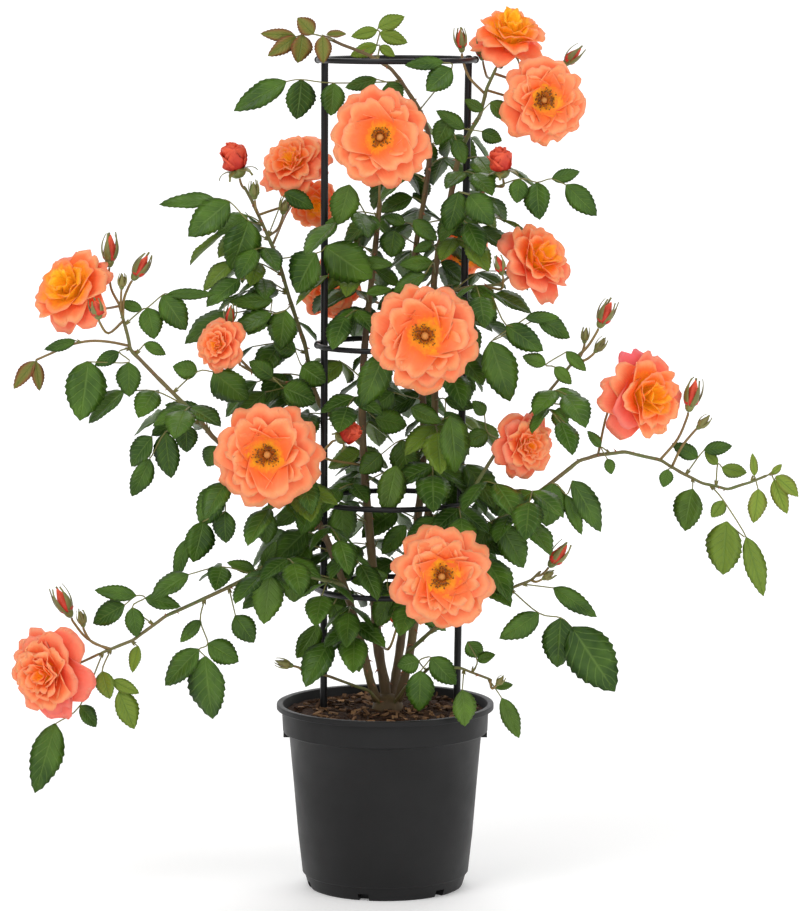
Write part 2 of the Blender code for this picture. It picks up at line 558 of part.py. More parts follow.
def smooth_path(points, per_span):
    """A Catmull-Rom curve through the points."""
    padded = [2 * points[0] - points[1], *points, 2 * points[-1] - points[-2]]
    path = []
    for index in range(1, len(padded) - 2):
        before, start, end, after = padded[index - 1: index + 3]
        for step in range(per_span):
            t = step / per_span
            path.append(0.5 * (2 * start + (end - before) * t
                               + (2 * before - 5 * start + 4 * end - after) * t ** 2
                               + (3 * start - before - 3 * end + after) * t ** 3))
    path.append(points[-1])
    return path


def stalk_path(start, end, arrival, sag):
    """A stalk that leaves one point and reaches another along a direction."""
    middle = end - arrival * (end - start).length * 0.45 + Vector((0, 0, sag))
    path = []
    for step in range(STALK_STEPS + 1):
        t = step / STALK_STEPS
        path.append(start * (1 - t) ** 2 + middle * 2 * t * (1 - t) + end * t ** 2)
    return path


def tube_object(name, paths, sides, collection):
    """Round tubes along paths of (point, radius), as one mesh."""
    curve = bpy.data.curves.new(name, "CURVE")
    curve.dimensions = "3D"
    curve.bevel_depth = 1.0
    curve.bevel_resolution = sides // 2 - 2
    curve.use_fill_caps = True
    for path in paths:
        spline = curve.splines.new("POLY")
        spline.points.add(len(path) - 1)
        for point, (place, radius) in zip(spline.points, path):
            point.co = (*place, 1.0)
            point.radius = radius
    rod = bpy.data.objects.new(name + "_curve", curve)
    collection.objects.link(rod)
    bpy.context.view_layer.update()
    item = bpy.data.objects.new(name, evaluated_mesh(rod))
    bpy.data.objects.remove(rod, do_unlink=True)
    collection.objects.link(item)
    weld = bmesh.new()
    weld.from_mesh(item.data)
    bmesh.ops.remove_doubles(weld, verts=weld.verts, dist=1e-6)
    weld.to_mesh(item.data)
    weld.free()
    return item


def turned_object(name, profile, steps, collection):
    """A solid turned round Z from a profile of (radius, height) that runs down its outer side."""
    mesh = bpy.data.meshes.new(name)
    corners = [(radius, 0.0, height) for radius, height in profile]
    mesh.from_pydata(corners, [(index, index + 1) for index in range(len(corners) - 1)], [])
    item = bpy.data.objects.new(name, mesh)
    collection.objects.link(item)
    screw = item.modifiers.new("turn", "SCREW")
    screw.steps = steps
    screw.render_steps = steps
    screw.use_merge_vertices = True
    screw.merge_threshold = 0.00001
    return item


def box_cutter(name, size, matrix, collection):
    """A box, to cut with or to join."""
    mesh = bpy.data.meshes.new(name)
    shape = bmesh.new()
    bmesh.ops.create_cube(shape, size=1.0, matrix=matrix @ Matrix.Diagonal((*size, 1.0)))
    shape.to_mesh(mesh)
    shape.free()
    return hidden_helper(bpy.data.objects.new(name, mesh), collection)


def hidden_helper(item, collection):
    """Keep a cutter out of the model."""
    item.hide_render = True
    item.display_type = "WIRE"
    collection.objects.link(item)
    return item


def add_boolean(item, operand, operation, whole=False):
    """Cut or join an object with another."""
    boolean = item.modifiers.new(operand.name, "BOOLEAN")
    boolean.operation = operation
    boolean.solver = "EXACT"
    boolean.use_self = whole
    boolean.object = operand


def trellis_x(height):
    """The trellis's middle at a height, as it leans a little."""
    share = (height - SOIL_TOP) / (STAKE_TOP - SOIL_TOP)
    return TRELLIS_FOOT_X + (TRELLIS_TOP_X - TRELLIS_FOOT_X) * share


def ring_radius(height):
    """The ring radius at a height."""
    share = (height - RING_HEIGHTS["ring_4_low"]) / (RING_HEIGHTS["ring_1_top"] - RING_HEIGHTS["ring_4_low"])
    return RING_RADIUS_LOW + (RING_RADIUS_TOP - RING_RADIUS_LOW) * share


def stake_point(side, height):
    """The middle of a stake at a height, just inside the rings."""
    reach = ring_radius(height) - RING_TUBE - STAKE_RADIUS - SEAT_GAP
    return Vector((trellis_x(height) + side * reach, 0.0, height))


def add_pot(parts, cutters):
    """The pot: lip, collar, wall and foot in one turned shell, with notches and hook tabs."""
    inner_top = WALL_TOP_RADIUS - WALL
    profile = [
        (0.0, FLOOR),
        (BASE_RADIUS - WALL, FLOOR),
        (WALL_FOOT_RADIUS - WALL, FOOT_HEIGHT),
        (inner_top, COLLAR_BOTTOM),
        (COLLAR_RADIUS - WALL, COLLAR_BOTTOM + WALL),
        (COLLAR_RADIUS + 0.0005, POT_HEIGHT),
        (LIP_RADIUS - 0.0015, POT_HEIGHT),
        (LIP_RADIUS, POT_HEIGHT - 0.0015),
        (LIP_RADIUS, POT_HEIGHT - LIP_HEIGHT),
        (COLLAR_RADIUS + 0.001, POT_HEIGHT - LIP_HEIGHT),
        (COLLAR_RADIUS, COLLAR_BOTTOM),
        (WALL_TOP_RADIUS, COLLAR_BOTTOM - 0.002),
        (WALL_FOOT_RADIUS, FOOT_HEIGHT + 0.001),
        (FOOT_RADIUS, FOOT_HEIGHT),
        (BASE_RADIUS + 0.001, 0.002),
        (BASE_RADIUS - 0.001, 0.0),
        (0.0, 0.0),
    ]
    pot = turned_object("pot", profile, TURN_STEPS, parts)
    notch_middle = BASE_RADIUS - 0.001
    for index in range(NOTCH_COUNT):
        turn = Matrix.Rotation(FIRST_NOTCH + index * math.tau / NOTCH_COUNT, 4, "Z")
        place = turn @ Matrix.Translation((notch_middle, 0, 0))
        add_boolean(pot, box_cutter(f"notch_{index}", NOTCH_SIZE, place, cutters), "DIFFERENCE")
    for side in (-1, 1):
        middle = (side * (WALL_TOP_RADIUS + TAB_SIZE[0] / 4), 0, COLLAR_BOTTOM - TAB_SIZE[2] / 2)
        tab = box_cutter(f"tab_{side}", TAB_SIZE, Matrix.Translation(middle), cutters)
        add_boolean(pot, tab, "UNION")
    return pot


def add_soil(parts, cutters):
    """The potting mix, with sockets for the stakes and the crown."""
    clear = WALL + SEAT_GAP
    profile = [
        (0.0, SOIL_CROWN_TOP),
        (0.05, SOIL_CROWN_TOP),
        (COLLAR_RADIUS - clear, SOIL_TOP),
        (COLLAR_RADIUS - clear, COLLAR_BOTTOM + WALL + 0.001),
        (WALL_TOP_RADIUS - clear - 0.0004, COLLAR_BOTTOM),
        (WALL_FOOT_RADIUS - clear - 0.0004, FOOT_HEIGHT),
        (BASE_RADIUS - clear - 0.0012, FLOOR + SEAT_GAP),
        (0.0, FLOOR + SEAT_GAP),
    ]
    soil = turned_object("soil", profile, TURN_STEPS, parts)
    for side in (-1, 1):
        foot = stake_point(side, STAKE_FOOT - SEAT_GAP)
        top = stake_point(side, SOIL_TOP + 0.03)
        path = [(foot, STAKE_RADIUS + 2 * SEAT_GAP), (top, STAKE_RADIUS + 2 * SEAT_GAP)]
        hole = tube_object(f"stake_hole_{side}", [path], 8, cutters)
        hole.hide_render = True
        hole.display_type = "WIRE"
        add_boolean(soil, hole, "DIFFERENCE")
    socket = tube_object("crown_socket", [[(Vector((0.002, 0, 0.150)), 0.0150),
                                           (Vector((0.002, 0, 0.180)), 0.0150)]], 12, cutters)
    socket.hide_render = True
    socket.display_type = "WIRE"
    add_boolean(soil, socket, "DIFFERENCE")
    return soil


def add_stake(side, name, parts):
    """One upright stake, from deep in the soil to just over the top ring."""
    path = [(stake_point(side, STAKE_FOOT), STAKE_RADIUS), (stake_point(side, STAKE_TOP), STAKE_RADIUS)]
    return tube_object(name, [path], 8, parts)


def add_ring(name, height, parts):
    """One round ring of the trellis."""
    bpy.ops.mesh.primitive_torus_add(
        major_segments=24, minor_segments=6, major_radius=ring_radius(height), minor_radius=RING_TUBE,
        location=(trellis_x(height), 0.0, height),
    )
    ring = bpy.context.object
    ring.name = name
    for collection in list(ring.users_collection):
        collection.objects.unlink(ring)
    parts.objects.link(ring)
    return ring


def add_crown(parts):
    """The knuckle that the canes grow from, with its foot in the soil."""
    path = [
        (Vector((0.002, 0, 0.1504)), 0.0120), (Vector((0.002, 0, 0.160)), 0.0142),
        (Vector((0.002, 0, 0.170)), 0.0135), (Vector((0.002, 0, 0.176)), 0.0090),
    ]
    return tube_object("crown", [path], 10, parts)


def face_axis(turn, lift):
    """The way a bloom faces: turn is to the viewer's right, lift is upward, in degrees."""
    turn, lift = math.radians(turn), math.radians(lift)
    return Vector((math.sin(turn) * math.cos(lift), -math.cos(turn) * math.cos(lift), math.sin(lift)))


def lean_axis(lean):
    """The way a bud points: lean is from upright to the viewer's right, in degrees."""
    return Vector((math.sin(math.radians(lean)), -0.12, math.cos(math.radians(lean)))).normalized()


def facing_matrix(place, axis):
    """A frame at a place with its Z along an axis."""
    return Matrix.Translation(place) @ axis.to_track_quat("Z", "Y").to_matrix().to_4x4()


def bloom_radius(bloom):
    """A bloom's radius in metres."""
    return bloom.width * pixel_size(bloom.depth) / 2


def bloom_foot(bloom):
    """The foot of a bloom's hip, and the way it faces."""
    axis = face_axis(bloom.turn, bloom.lift)
    return seen_at(*bloom.at, bloom.depth) - axis * BLOOM_DEPTH * bloom_radius(bloom), axis


def bud_foot(bud):
    """The foot of a bud and the way it points."""
    axis = lean_axis(bud.lean)
    return seen_at(*bud.at, bud.depth) - axis * bud.length * pixel_size(bud.depth) / 2, axis


def add_bloom(name, bloom, parts):
    """A dished rosette on its hip, with a scalloped rim."""
    radius = bloom_radius(bloom)
    item = turned_object(name, [(r * radius, z * radius) for r, z in BLOOM_SECTION], BLOOM_STEPS, parts)
    mesh = evaluated_mesh(item)
    item.modifiers.clear()
    item.data = mesh
    for vertex in mesh.vertices:
        reach = math.hypot(vertex.co.x, vertex.co.y) / radius
        angle = math.atan2(vertex.co.y, vertex.co.x)
        if reach > 0.8:
            swell = 1.0 - 0.05 * (1 - math.cos(PETALS_AROUND * angle)) / 2
            vertex.co.x *= swell
            vertex.co.y *= swell
    mesh.transform(facing_matrix(seen_at(*bloom.at, bloom.depth), face_axis(bloom.turn, bloom.lift)))
    return item


def add_stamens(name, bloom, parts):
    """The low boss of stamens on a bloom's dish."""
    radius = bloom_radius(bloom)
    floor = -0.13 * radius + SEAT_GAP
    top = floor + STAMEN_HEIGHT * radius
    rim = STAMEN_RADIUS * radius
    profile = [(0.0, top), (rim * 0.7, top - 0.001), (rim, floor), (0.0, floor)]
    item = turned_object(name, profile, 10, parts)
    mesh = evaluated_mesh(item)
    item.modifiers.clear()
    item.data = mesh
    mesh.transform(facing_matrix(seen_at(*bloom.at, bloom.depth), face_axis(bloom.turn, bloom.lift)))
    return item


def add_bud(name, bud, parts):
    """A pointed bud on its hip."""
    size = pixel_size(bud.depth)
    profile = [(r * bud.width * size, z * bud.length * size) for r, z in BUD_SECTION]
    item = turned_object(name, profile, BUD_STEPS, parts)
    mesh = evaluated_mesh(item)
    item.modifiers.clear()
    item.data = mesh
    mesh.transform(facing_matrix(*bud_foot(bud)))
    return item


def blade_template():
    """The corners and faces of a flat six-sided lens, and each corner's place in the blade outline."""
    shape = bmesh.new()
    turn = Matrix.Rotation(math.radians(30), 4, "Z")
    bmesh.ops.create_uvsphere(shape, u_segments=6, v_segments=2, radius=1.0, matrix=turn)
    corners = [tuple(vertex.co) for vertex in shape.verts]
    faces = [tuple(vertex.index for vertex in face.verts) for face in shape.faces]
    shape.free()
    return corners, faces


def blade_corners(template, base, tip, normal, width, thickness):
    """A leaflet: the lens drawn out to a pointed oval from base to tip, a little folded."""
    along = tip - base
    normal = (normal - along * normal.dot(along) / along.length_squared).normalized()
    side = normal.cross(along.normalized())
    corners = []
    for x, y, z in template:
        if abs(z) > 0.5:
            share, across, rise = 0.45, 0.0, math.copysign(thickness / 2, z)
        else:
            angle = round(math.degrees(math.atan2(y, x))) % 360
            share = {0: 1.0, 60: 0.70, 300: 0.70, 120: 0.26, 240: 0.26, 180: 0.0}[angle]
            across = {0: 0.0, 60: 0.36, 300: -0.36, 120: 0.48, 240: -0.48, 180: 0.0}[angle] * width
            rise = abs(across) * 0.22 - (0.06 * along.length if share == 1.0 else 0.0)
        corners.append(base + along * share + side * across + normal * rise)
    return corners


def nearest_on(path, place):
    """The point of a path that shows nearest a picture place."""
    samples = dense_points(path, 0.002)
    return min(samples, key=lambda point: math.dist(picture_place(point), place))


def tapered(path, start_radius, end_radius):
    """A path's points, each with its radius."""
    step = (end_radius - start_radius) / (len(path) - 1)
    return [(point, start_radius + step * index) for index, point in enumerate(path)]


def trim_start(path, radius, tree):
    """Cut the start of a path back until its end cap just clears the parent's surface."""
    step = 0.00025
    samples = dense_points(path, step)
    index = round(TRIM_REACH / step)
    while index > 0 and cap_is_clear(samples, index - 1, radius, tree):
        index -= 1
    length = sum((end - start).length for start, end in zip(samples[:index], samples[1:index + 1]))
    kept = [point for point, run in zip(path, path_runs(path)) if run > length + 0.002]
    return [samples[index], *kept]


def cap_is_clear(samples, index, radius, tree):
    """Whether a tube's end cap at one sample of its path keeps the seat gap to a surface."""
    way = (samples[index + 1] - samples[index]).normalized()
    side = way.orthogonal().normalized() * radius
    spots = [samples[index]]
    for turn in range(16):
        spoke = Matrix.Rotation(turn * math.tau / 16, 3, way) @ side
        spots += [samples[index] + spoke, samples[index] + spoke * 0.66, samples[index] + spoke * 0.33]
    return all(tree.find_nearest(spot, SEAT_GAP)[0] is None for spot in spots)


def path_runs(path):
    """The length along a path at each of its points."""
    runs = [0.0]
    for start, end in zip(path, path[1:]):
        runs.append(runs[-1] + (end - start).length)
    return runs


class Plant:
    """Places stalks and leaves, each clear of what is there already."""

    def __init__(self, space):
        self.space = space
        self.template, self.faces = blade_template()
        self.trunks = {}
        self.side_trunks = {}
        self.stalks = {name: [] for name in BRANCHES}
        self.blades = {name: [] for name in BRANCHES}

    def trunk_point(self, branch, place):
        """The point of a branch, or of its side branch, that shows nearest a picture place."""
        paths = [self.trunks[branch], *self.side_trunks.get(branch, [])]
        points = [nearest_on(path, place) for path in paths]
        return min(points, key=lambda point: math.dist(picture_place(point), place))

    def add_stalk(self, branch, path, radius):
        """Keep a stalk and remember the room it takes."""
        self.stalks[branch].append(tapered(path, radius, radius * STALK_TAPER))
        self.space.add_run(branch, path, radius * ROOM_GROWTH, 4)

    def add_pedicel(self, branch, node, foot, axis):
        """The stalk of a bloom or bud, from the branch to just short of its foot."""
        start = self.trunk_point(branch, node)
        end = foot - axis * SEAT_GAP
        sags = [0.0, 0.008, -0.008, 0.016, -0.016, 0.024, -0.024, 0.034, -0.034]
        ends = [axis, (axis + Vector((0.5, 0, 0))).normalized(), (axis - Vector((0.5, 0, 0))).normalized()]
        for arrival in ends:
            for sag in sags:
                path = [*stalk_path(start, end - axis * PEDICEL_NECK, arrival, sag), end]
                inner = [*path[:-1], end - axis * (PEDICEL_RADIUS + 0.001)]
                if self.space.stalk_is_clear(inner, PEDICEL_RADIUS, skip=(branch,)):
                    self.add_stalk(branch, path, PEDICEL_RADIUS)
                    return
        straight = [*stalk_path(start, end - axis * PEDICEL_NECK, axis, 0.0), end]
        self.add_stalk(branch, straight, PEDICEL_RADIUS)

    def blade_sets(self, blades):
        """Corners of a leaf's blades as built, and slightly fatter to test with."""
        real = [blade_corners(self.template, *blade, LEAF_THICKNESS) for blade in blades]
        fat = []
        for base, tip, normal, width in blades:
            grown = tip + (tip - base) * TEST_GROWTH
            fat.append(blade_corners(self.template, base, grown, normal, width * TEST_WIDTH,
                                     LEAF_THICKNESS + 4 * SEAT_GAP))
        return real, fat

    def try_leaf(self, branch, stalk, blades, own):
        """Place a leaf if it is clear. own says whether it must clear its own branch's leaves too."""
        skip = () if own else (branch,)
        if not self.space.stalk_is_clear(dense_points(stalk, 0.004), PETIOLE_RADIUS, skip=(branch,)):
            return False
        real, fat = self.blade_sets(blades)
        if not all(self.space.blade_is_clear(corners, self.faces, skip) for corners in fat):
            return False
        self.keep_leaf(branch, stalk, real)
        return True

    def keep_leaf(self, branch, stalk, real):
        """Keep a leaf and remember the room it takes."""
        self.add_stalk(branch, stalk, PETIOLE_RADIUS)
        for corners in real:
            self.blades[branch].append(corners)
            self.space.add(branch, BVHTree.FromPolygons(corners, self.faces), corners)

    def hand_leaf(self, leaf, number):
        """A leaf placed by hand: its blades' outline is fixed in the picture, its depth may shift."""
        node = self.trunk_point(leaf.branch, (leaf.node[0] / SHEET, leaf.node[1] / SHEET))
        chance = random.Random(SEED + number)
        rolls = [chance.uniform(-0.5, 0.5) for _ in leaf.blades]
        tips = [chance.uniform(-0.25, 0.25) for _ in leaf.blades]
        shifts = [0.0, -0.005, 0.005, -0.010, 0.010, -0.016, 0.016, -0.024, 0.024, -0.034, 0.034, 0.046]
        for own in (True, False):
            for shift in shifts:
                for bend in (1.0, 0.3, -0.6):
                    stalk, blades = self.hand_shape(leaf, node, leaf.depth + shift, rolls, tips, bend)
                    if self.try_leaf(leaf.branch, stalk, blades, own):
                        return
        for count in range(len(leaf.blades) - 1, 0, -1):
            short = leaf._replace(blades=leaf.blades[:count])
            for shift in shifts:
                stalk, blades = self.hand_shape(short, node, leaf.depth + shift, rolls, tips, 0.5)
                if self.try_leaf(leaf.branch, stalk, blades, False):
                    return

    def hand_shape(self, leaf, node, depth, rolls, tips, bend):
        """The stalk and blades of a hand-placed leaf at a depth."""
        blades = []
        bases = []
        for (base_x, base_y, tip_x, tip_y, width), roll, tip_share in zip(leaf.blades, rolls, tips):
            size = pixel_size(depth) / SHEET
            seen = math.dist((base_x, base_y), (tip_x, tip_y)) * size
            base = seen_on_sheet(base_x, base_y, depth)
            tip = seen_on_sheet(tip_x, tip_y, depth + tip_share * bend * seen)
            way = (tip - base).normalized()
            normal = Matrix.Rotation(roll * bend, 3, way) @ Vector((0.0, -1.0, 0.15))
            bases.append(base)
            blades.append((base, tip, normal, width * size / math.cos(roll * bend)))
        order = sorted(range(1, len(bases)), key=lambda index: (bases[index] - node).length)
        end_way = (blades[0][1] - bases[0]).normalized()
        stalk = [node, *[bases[index] for index in order], bases[0] + end_way * BLADE_ROOT]
        return stalk, blades

    def filler_leaf(self, branch, index):
        """A three-bladed leaf that grows outward from the branch and arches down."""
        count, first, last = FILLERS[branch]
        chance = random.Random(f"{SEED} {branch} {index}")
        share = first + (last - first) * (index + chance.uniform(0.1, 0.9)) / count
        samples = dense_points(self.trunks[branch], 0.002)
        node = samples[int(share * (len(samples) - 1))]
        middle = Vector((trellis_x(node.z), 0.0, node.z))
        for attempt in range(FILLER_TRIES):
            outward = node - middle
            base_turn = math.atan2(outward.y, outward.x) if outward.length > 0.01 else 0.0
            turn = base_turn + chance.uniform(-1.6, 1.6)
            reach = chance.uniform(0.042, 0.066) * (1.0 - 0.03 * attempt)
            rise = chance.uniform(0.10, 0.55)
            way = Vector((math.cos(turn), math.sin(turn), rise)).normalized()
            stalk = [node, node + way * reach * 0.5, node + way * reach - Vector((0, 0, reach * 0.22))]
            blades = self.filler_blades(stalk, way, chance)
            if self.try_leaf(branch, stalk, blades, True):
                return

    def filler_blades(self, stalk, way, chance):
        """Blades for a filler leaf: one at the end and a pair at the bend."""
        flat = Vector((way.x, way.y, 0.0)).normalized()
        side = Vector((-flat.y, flat.x, 0.0))
        droop = chance.uniform(0.45, 1.0)
        length = chance.uniform(0.036, 0.050)
        normal = (Vector((0, 0, 1)) + flat * 0.8).normalized()
        end_way = (flat - Vector((0, 0, droop))).normalized()
        blades = [(stalk[-1] - end_way * BLADE_ROOT, stalk[-1] + end_way * length, normal, length * 0.62)]
        for hand in (-1, 1):
            pair_way = (side * hand * 0.9 + flat * 0.45 - Vector((0, 0, droop * 0.8))).normalized()
            pair_normal = (Vector((0, 0, 1)) + side * hand * 0.6).normalized()
            blades.append((stalk[1], stalk[1] + pair_way * length * 0.85, pair_normal, length * 0.55))
        return blades


def branch_object(name, plant, trunk, cutters, material):
    """Join a branch's stem, stalks, leaflets and small buds into one solid."""
    rest = tube_object(name + "_stalks", plant.stalks[name], 4, cutters) if plant.stalks[name] else None
    shape = bmesh.new()
    if rest:
        shape.from_mesh(rest.data)
        bpy.data.objects.remove(rest, do_unlink=True)
    for corners in plant.blades[name]:
        made = [shape.verts.new(corner) for corner in corners]
        for face in plant.faces:
            shape.faces.new([made[index] for index in face])
    for bud in SMALL_BUDS:
        if bud.branch == name:
            add_small_bud(shape, bud, cutters)
    mesh = bpy.data.meshes.new(name + "_rest")
    shape.to_mesh(mesh)
    shape.free()
    if mesh.polygons:
        helper = hidden_helper(bpy.data.objects.new(name + "_rest", mesh), cutters)
        add_boolean(trunk, helper, "UNION", whole=True)
    trunk.data.materials.append(material)


def add_small_bud(shape, bud, cutters):
    """Add a small bud's solid to a shape."""
    helper = add_bud("small_bud", bud, cutters)
    shape.from_mesh(helper.data)
    bpy.data.objects.remove(helper, do_unlink=True)


def build():
    """Build every piece."""
    clear_scene()
    parts = make_collection("climbing_rose_on_trellis")
    cutters = make_collection("cutters")
    black = make_material("pot_plastic", (0.022, 0.022, 0.023), 0.55)
    gloss = make_material("trellis_plastic", (0.010, 0.010, 0.011), 0.38)
    earth = make_material("potting_mix", (0.040, 0.022, 0.012), 0.95)
    bark = make_material("cane_bark", (0.135, 0.082, 0.032), 0.60)
    green = make_material("leaf_green", (0.050, 0.120, 0.028), 0.42)
    coral = make_material("petal_coral", (0.93, 0.27, 0.12), 0.55)
    ochre = make_material("stamen_ochre", (0.50, 0.22, 0.03), 0.70)
    red = make_material("bud_red", (0.62, 0.06, 0.03), 0.50)

    space = Space()
    fixed = {"pot": add_pot(parts, cutters), "soil": add_soil(parts, cutters)}
    for side, name in ((-1, "stake_left"), (1, "stake_right")):
        fixed[name] = add_stake(side, name, parts)
    for name, height in RING_HEIGHTS.items():
        fixed[name] = add_ring(name, height, parts)
    fixed["crown"] = add_crown(parts)
    for name, item in fixed.items():
        material = {"pot": black, "soil": earth, "crown": bark}.get(name, gloss)
        item.data.materials.append(material)
        space.add_object(name, item)

    plant = Plant(space)
    trunks = {"crown": fixed["crown"]}
    for name, branch in BRANCHES.items():
        points_each = 2 if name.startswith("cane") else 1
        path = smooth_path([seen_at(*point) for point in branch.points], points_each)
        plant.trunks[name] = path
        space.add_run(name, path, branch.start_radius * ROOM_GROWTH, 8)
        path = trim_start(path, branch.start_radius, surface_of(trunks[branch.parent]))
        sides = 6 if name.startswith("cane") else 4
        rings = tapered(path, branch.start_radius, branch.end_radius)
        trunks[name] = tube_object(name, [rings], sides, parts)
    side_name, side_points = SIDE_BRANCH
    side_path = [seen_at(*point) for point in side_points]
    plant.side_trunks[side_name] = [side_path]
    plant.add_stalk(side_name, side_path, PEDICEL_RADIUS)

    for name, bloom in BLOOMS.items():
        item = add_bloom(name, bloom, parts)
        item.data.materials.append(coral)
        space.add_object(name, item)
        if name in OPEN_BLOOMS:
            boss = add_stamens(name.replace("bloom", "stamens"), bloom, parts)
            boss.data.materials.append(ochre)
            space.add_object(boss.name, boss)
    for name, bud in BUDS.items():
        item = add_bud(name, bud, parts)
        item.data.materials.append(red)
        space.add_object(name, item)
    for bloom in BLOOMS.values():
        plant.add_pedicel(bloom.branch, bloom.node, *bloom_foot(bloom))
    for bud in BUDS.values():
        plant.add_pedicel(bud.branch, bud.node, *bud_foot(bud))
    for bud in SMALL_BUDS:
        foot, axis = bud_foot(bud)
        plant.add_pedicel(bud.branch, bud.node, foot + axis * 0.002, axis)
    for name, corners in FREE_ROOM.items():
        space.add_box(name, *corners)
    for number, leaf in enumerate(LEAVES):
        plant.hand_leaf(leaf, number)
    for name, (count, _, _) in FILLERS.items():
        for index in range(count):
            plant.filler_leaf(name, index)
    for name in BRANCHES:
        material = bark if name.startswith("cane") else green
        branch_object(name, plant, trunks[name], cutters, material)


build()
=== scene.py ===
"""Climbing rose on a ring trellis in a nursery pot.

Every piece is a surface worked out with numpy in metres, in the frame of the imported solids: +Z up,
the origin under the middle of the pot, the seen side facing -Y.
"""

import math
import random
from collections import namedtuple

import bpy
import numpy as np
from bpy.props import FloatProperty, FloatVectorProperty, IntProperty, PointerProperty
from mathutils import Matrix, Vector
from mathutils.bvhtree import BVHTree


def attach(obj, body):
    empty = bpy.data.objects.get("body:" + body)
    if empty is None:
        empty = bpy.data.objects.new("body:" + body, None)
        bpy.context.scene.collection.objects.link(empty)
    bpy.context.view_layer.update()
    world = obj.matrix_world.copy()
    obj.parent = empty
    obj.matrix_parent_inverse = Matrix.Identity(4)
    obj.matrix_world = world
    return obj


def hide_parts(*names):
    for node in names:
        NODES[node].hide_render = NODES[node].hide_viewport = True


bl_info = {
    "name": "Climbing rose on a trellis",
    "version": (1, 0, 0),
    "blender": (4, 5, 0),
    "location": "View3D > Sidebar > Rose",
    "description": "Makes a potted climbing rose on its ring trellis",
    "category": "Add Mesh",
}

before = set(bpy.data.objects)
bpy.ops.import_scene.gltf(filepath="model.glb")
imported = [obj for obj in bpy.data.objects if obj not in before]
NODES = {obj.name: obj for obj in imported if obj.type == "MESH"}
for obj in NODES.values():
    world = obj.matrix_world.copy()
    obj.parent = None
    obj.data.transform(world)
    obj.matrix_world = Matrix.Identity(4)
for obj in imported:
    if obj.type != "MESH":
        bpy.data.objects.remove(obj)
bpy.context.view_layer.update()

SEED = 314
SEAT_GAP = 0.0003
MILLIMETRES = 1000

# The eye of the reference picture, from which places on it become places in space
EYE = Vector((0.015, -3.836, 0.861))
EYE_PITCH = math.radians(6.85)
FOCAL_PIXELS = 4222.0
MIDDLE_X = 401.5
MIDDLE_Y = 455.5
PICTURE_HEIGHT = 911
SENSOR = 36.0
# Leaves were read on an enlarged sheet, this many sheet units to a picture pixel
SHEET = 1.7223

# The pot, the soil and the trellis
POT_HEIGHT = 0.171
LIP_RADIUS = 0.1
LIP_HEIGHT = 0.005
COLLAR_RADIUS = 0.0943
COLLAR_BOTTOM = 0.145
WALL_TOP_RADIUS = 0.0886
WALL_FOOT_RADIUS = 0.0766
FOOT_RADIUS = 0.0746
FOOT_HEIGHT = 0.013
BASE_RADIUS = 0.0704
WALL = 0.0022
FLOOR = 0.004
NOTCH_SIZE = (0.016, 0.01, 0.013)
NOTCH_COUNT = 6
FIRST_NOTCH = math.radians(-106)
TAB_SIZE = (0.007, 0.008, 0.006)
SOIL_TOP = 0.163
SOIL_BOTTOM = 0.146
RING_TUBE = 0.0025
STAKE_RADIUS = 0.0033
STAKE_FOOT = 0.02
STAKE_TOP = 0.765
TRELLIS_FOOT_X = 0.0045
TRELLIS_TOP_X = 0.0107
RING_RADIUS_LOW = 0.0681
RING_RADIUS_TOP = 0.0712
RING_HEIGHTS = {"ring_1_top": 0.761, "ring_2": 0.502, "ring_3": 0.359, "ring_4_low": 0.278}
# Bark chips: smallest and largest sides, and how far they tip and roll
CHIP_SIZES = ((0.004, 0.0018, 0.0008), (0.013, 0.005, 0.0022))
CHIP_TIP = 0.28
CHIP_ROLL = 0.2

# The room that leaves and stalks take while they are placed
LEAF_THICKNESS = 0.001
PETIOLE_RADIUS = 0.0009
PEDICEL_RADIUS = 0.0013
PEDICEL_NECK = 0.005
PEDICEL_END = 0.001
BLADE_ROOT = 0.0006
BLADE_FOLD = 0.22
TIP_DROP = 0.06
ROOM_GROWTH = 1.1
TEST_GROWTH = 0.02
TEST_WIDTH = 1.05
# How far apart points lie on a path: to find a place on it, along a leaf's stalk, and to test room
PATH_STEP = 0.002
STALK_STEP = 0.004
TEST_STEP = 0.0015
# What is tried in turn until a flower stalk is clear: its sag, and its lean where it arrives
SAGS = (0.0, 0.008, -0.008, 0.016, -0.016, 0.024, -0.024, 0.034, -0.034)
LEANS = (0.0, 0.5, -0.5)
# What is tried in turn until a leaf is clear: its shift in depth, and how much of its turn it keeps
SHIFTS = (0.0, -0.005, 0.005, -0.01, 0.01, -0.016, 0.016, -0.024, 0.024, -0.034, 0.034, 0.046)
BENDS = (1.0, 0.3, -0.6)
SHORT_BEND = 0.5
# The way a leaflet faces before it is turned, and its largest roll and dip to either side
FRONT = Vector((0.0, -1.0, 0.15))
MOST_ROLL = 0.5
MOST_DIP = 0.25
# A filling leaf, with bounds for its place, its turn from outward, its reach and rise, and the droop and
# length of its blades
FILLER_TRIES = 14
FILLER_SHRINK = 0.03
FILLER_PLACE = (0.1, 0.9)
FILLER_TURN = (-1.6, 1.6)
FILLER_REACH = (0.042, 0.066)
FILLER_RISE = (0.1, 0.55)
FILLER_DROOP = (0.45, 1.0)
FILLER_LENGTH = (0.036, 0.05)
END_WIDTH = 0.62
PAIR_LENGTH = 0.85
PAIR_WIDTH = 0.55
# How far the leaves made for the looks alone are turned to the viewer
FACING = 0.9
# How deep a bloom is behind its face, in shares of its radius
BLOOM_DEPTH = 0.54
# How slim a leaf's stalk is drawn, how far every stalk narrows to its end, and the bracts at its foot
PETIOLE_SLIM = 0.8
STALK_TAPER = 0.8
BRACT_LENGTH = 0.0065
BRACT_SPREAD = 0.0018
BRACT_WIDTH = 0.002
BRACT_THICKNESS = 0.0005

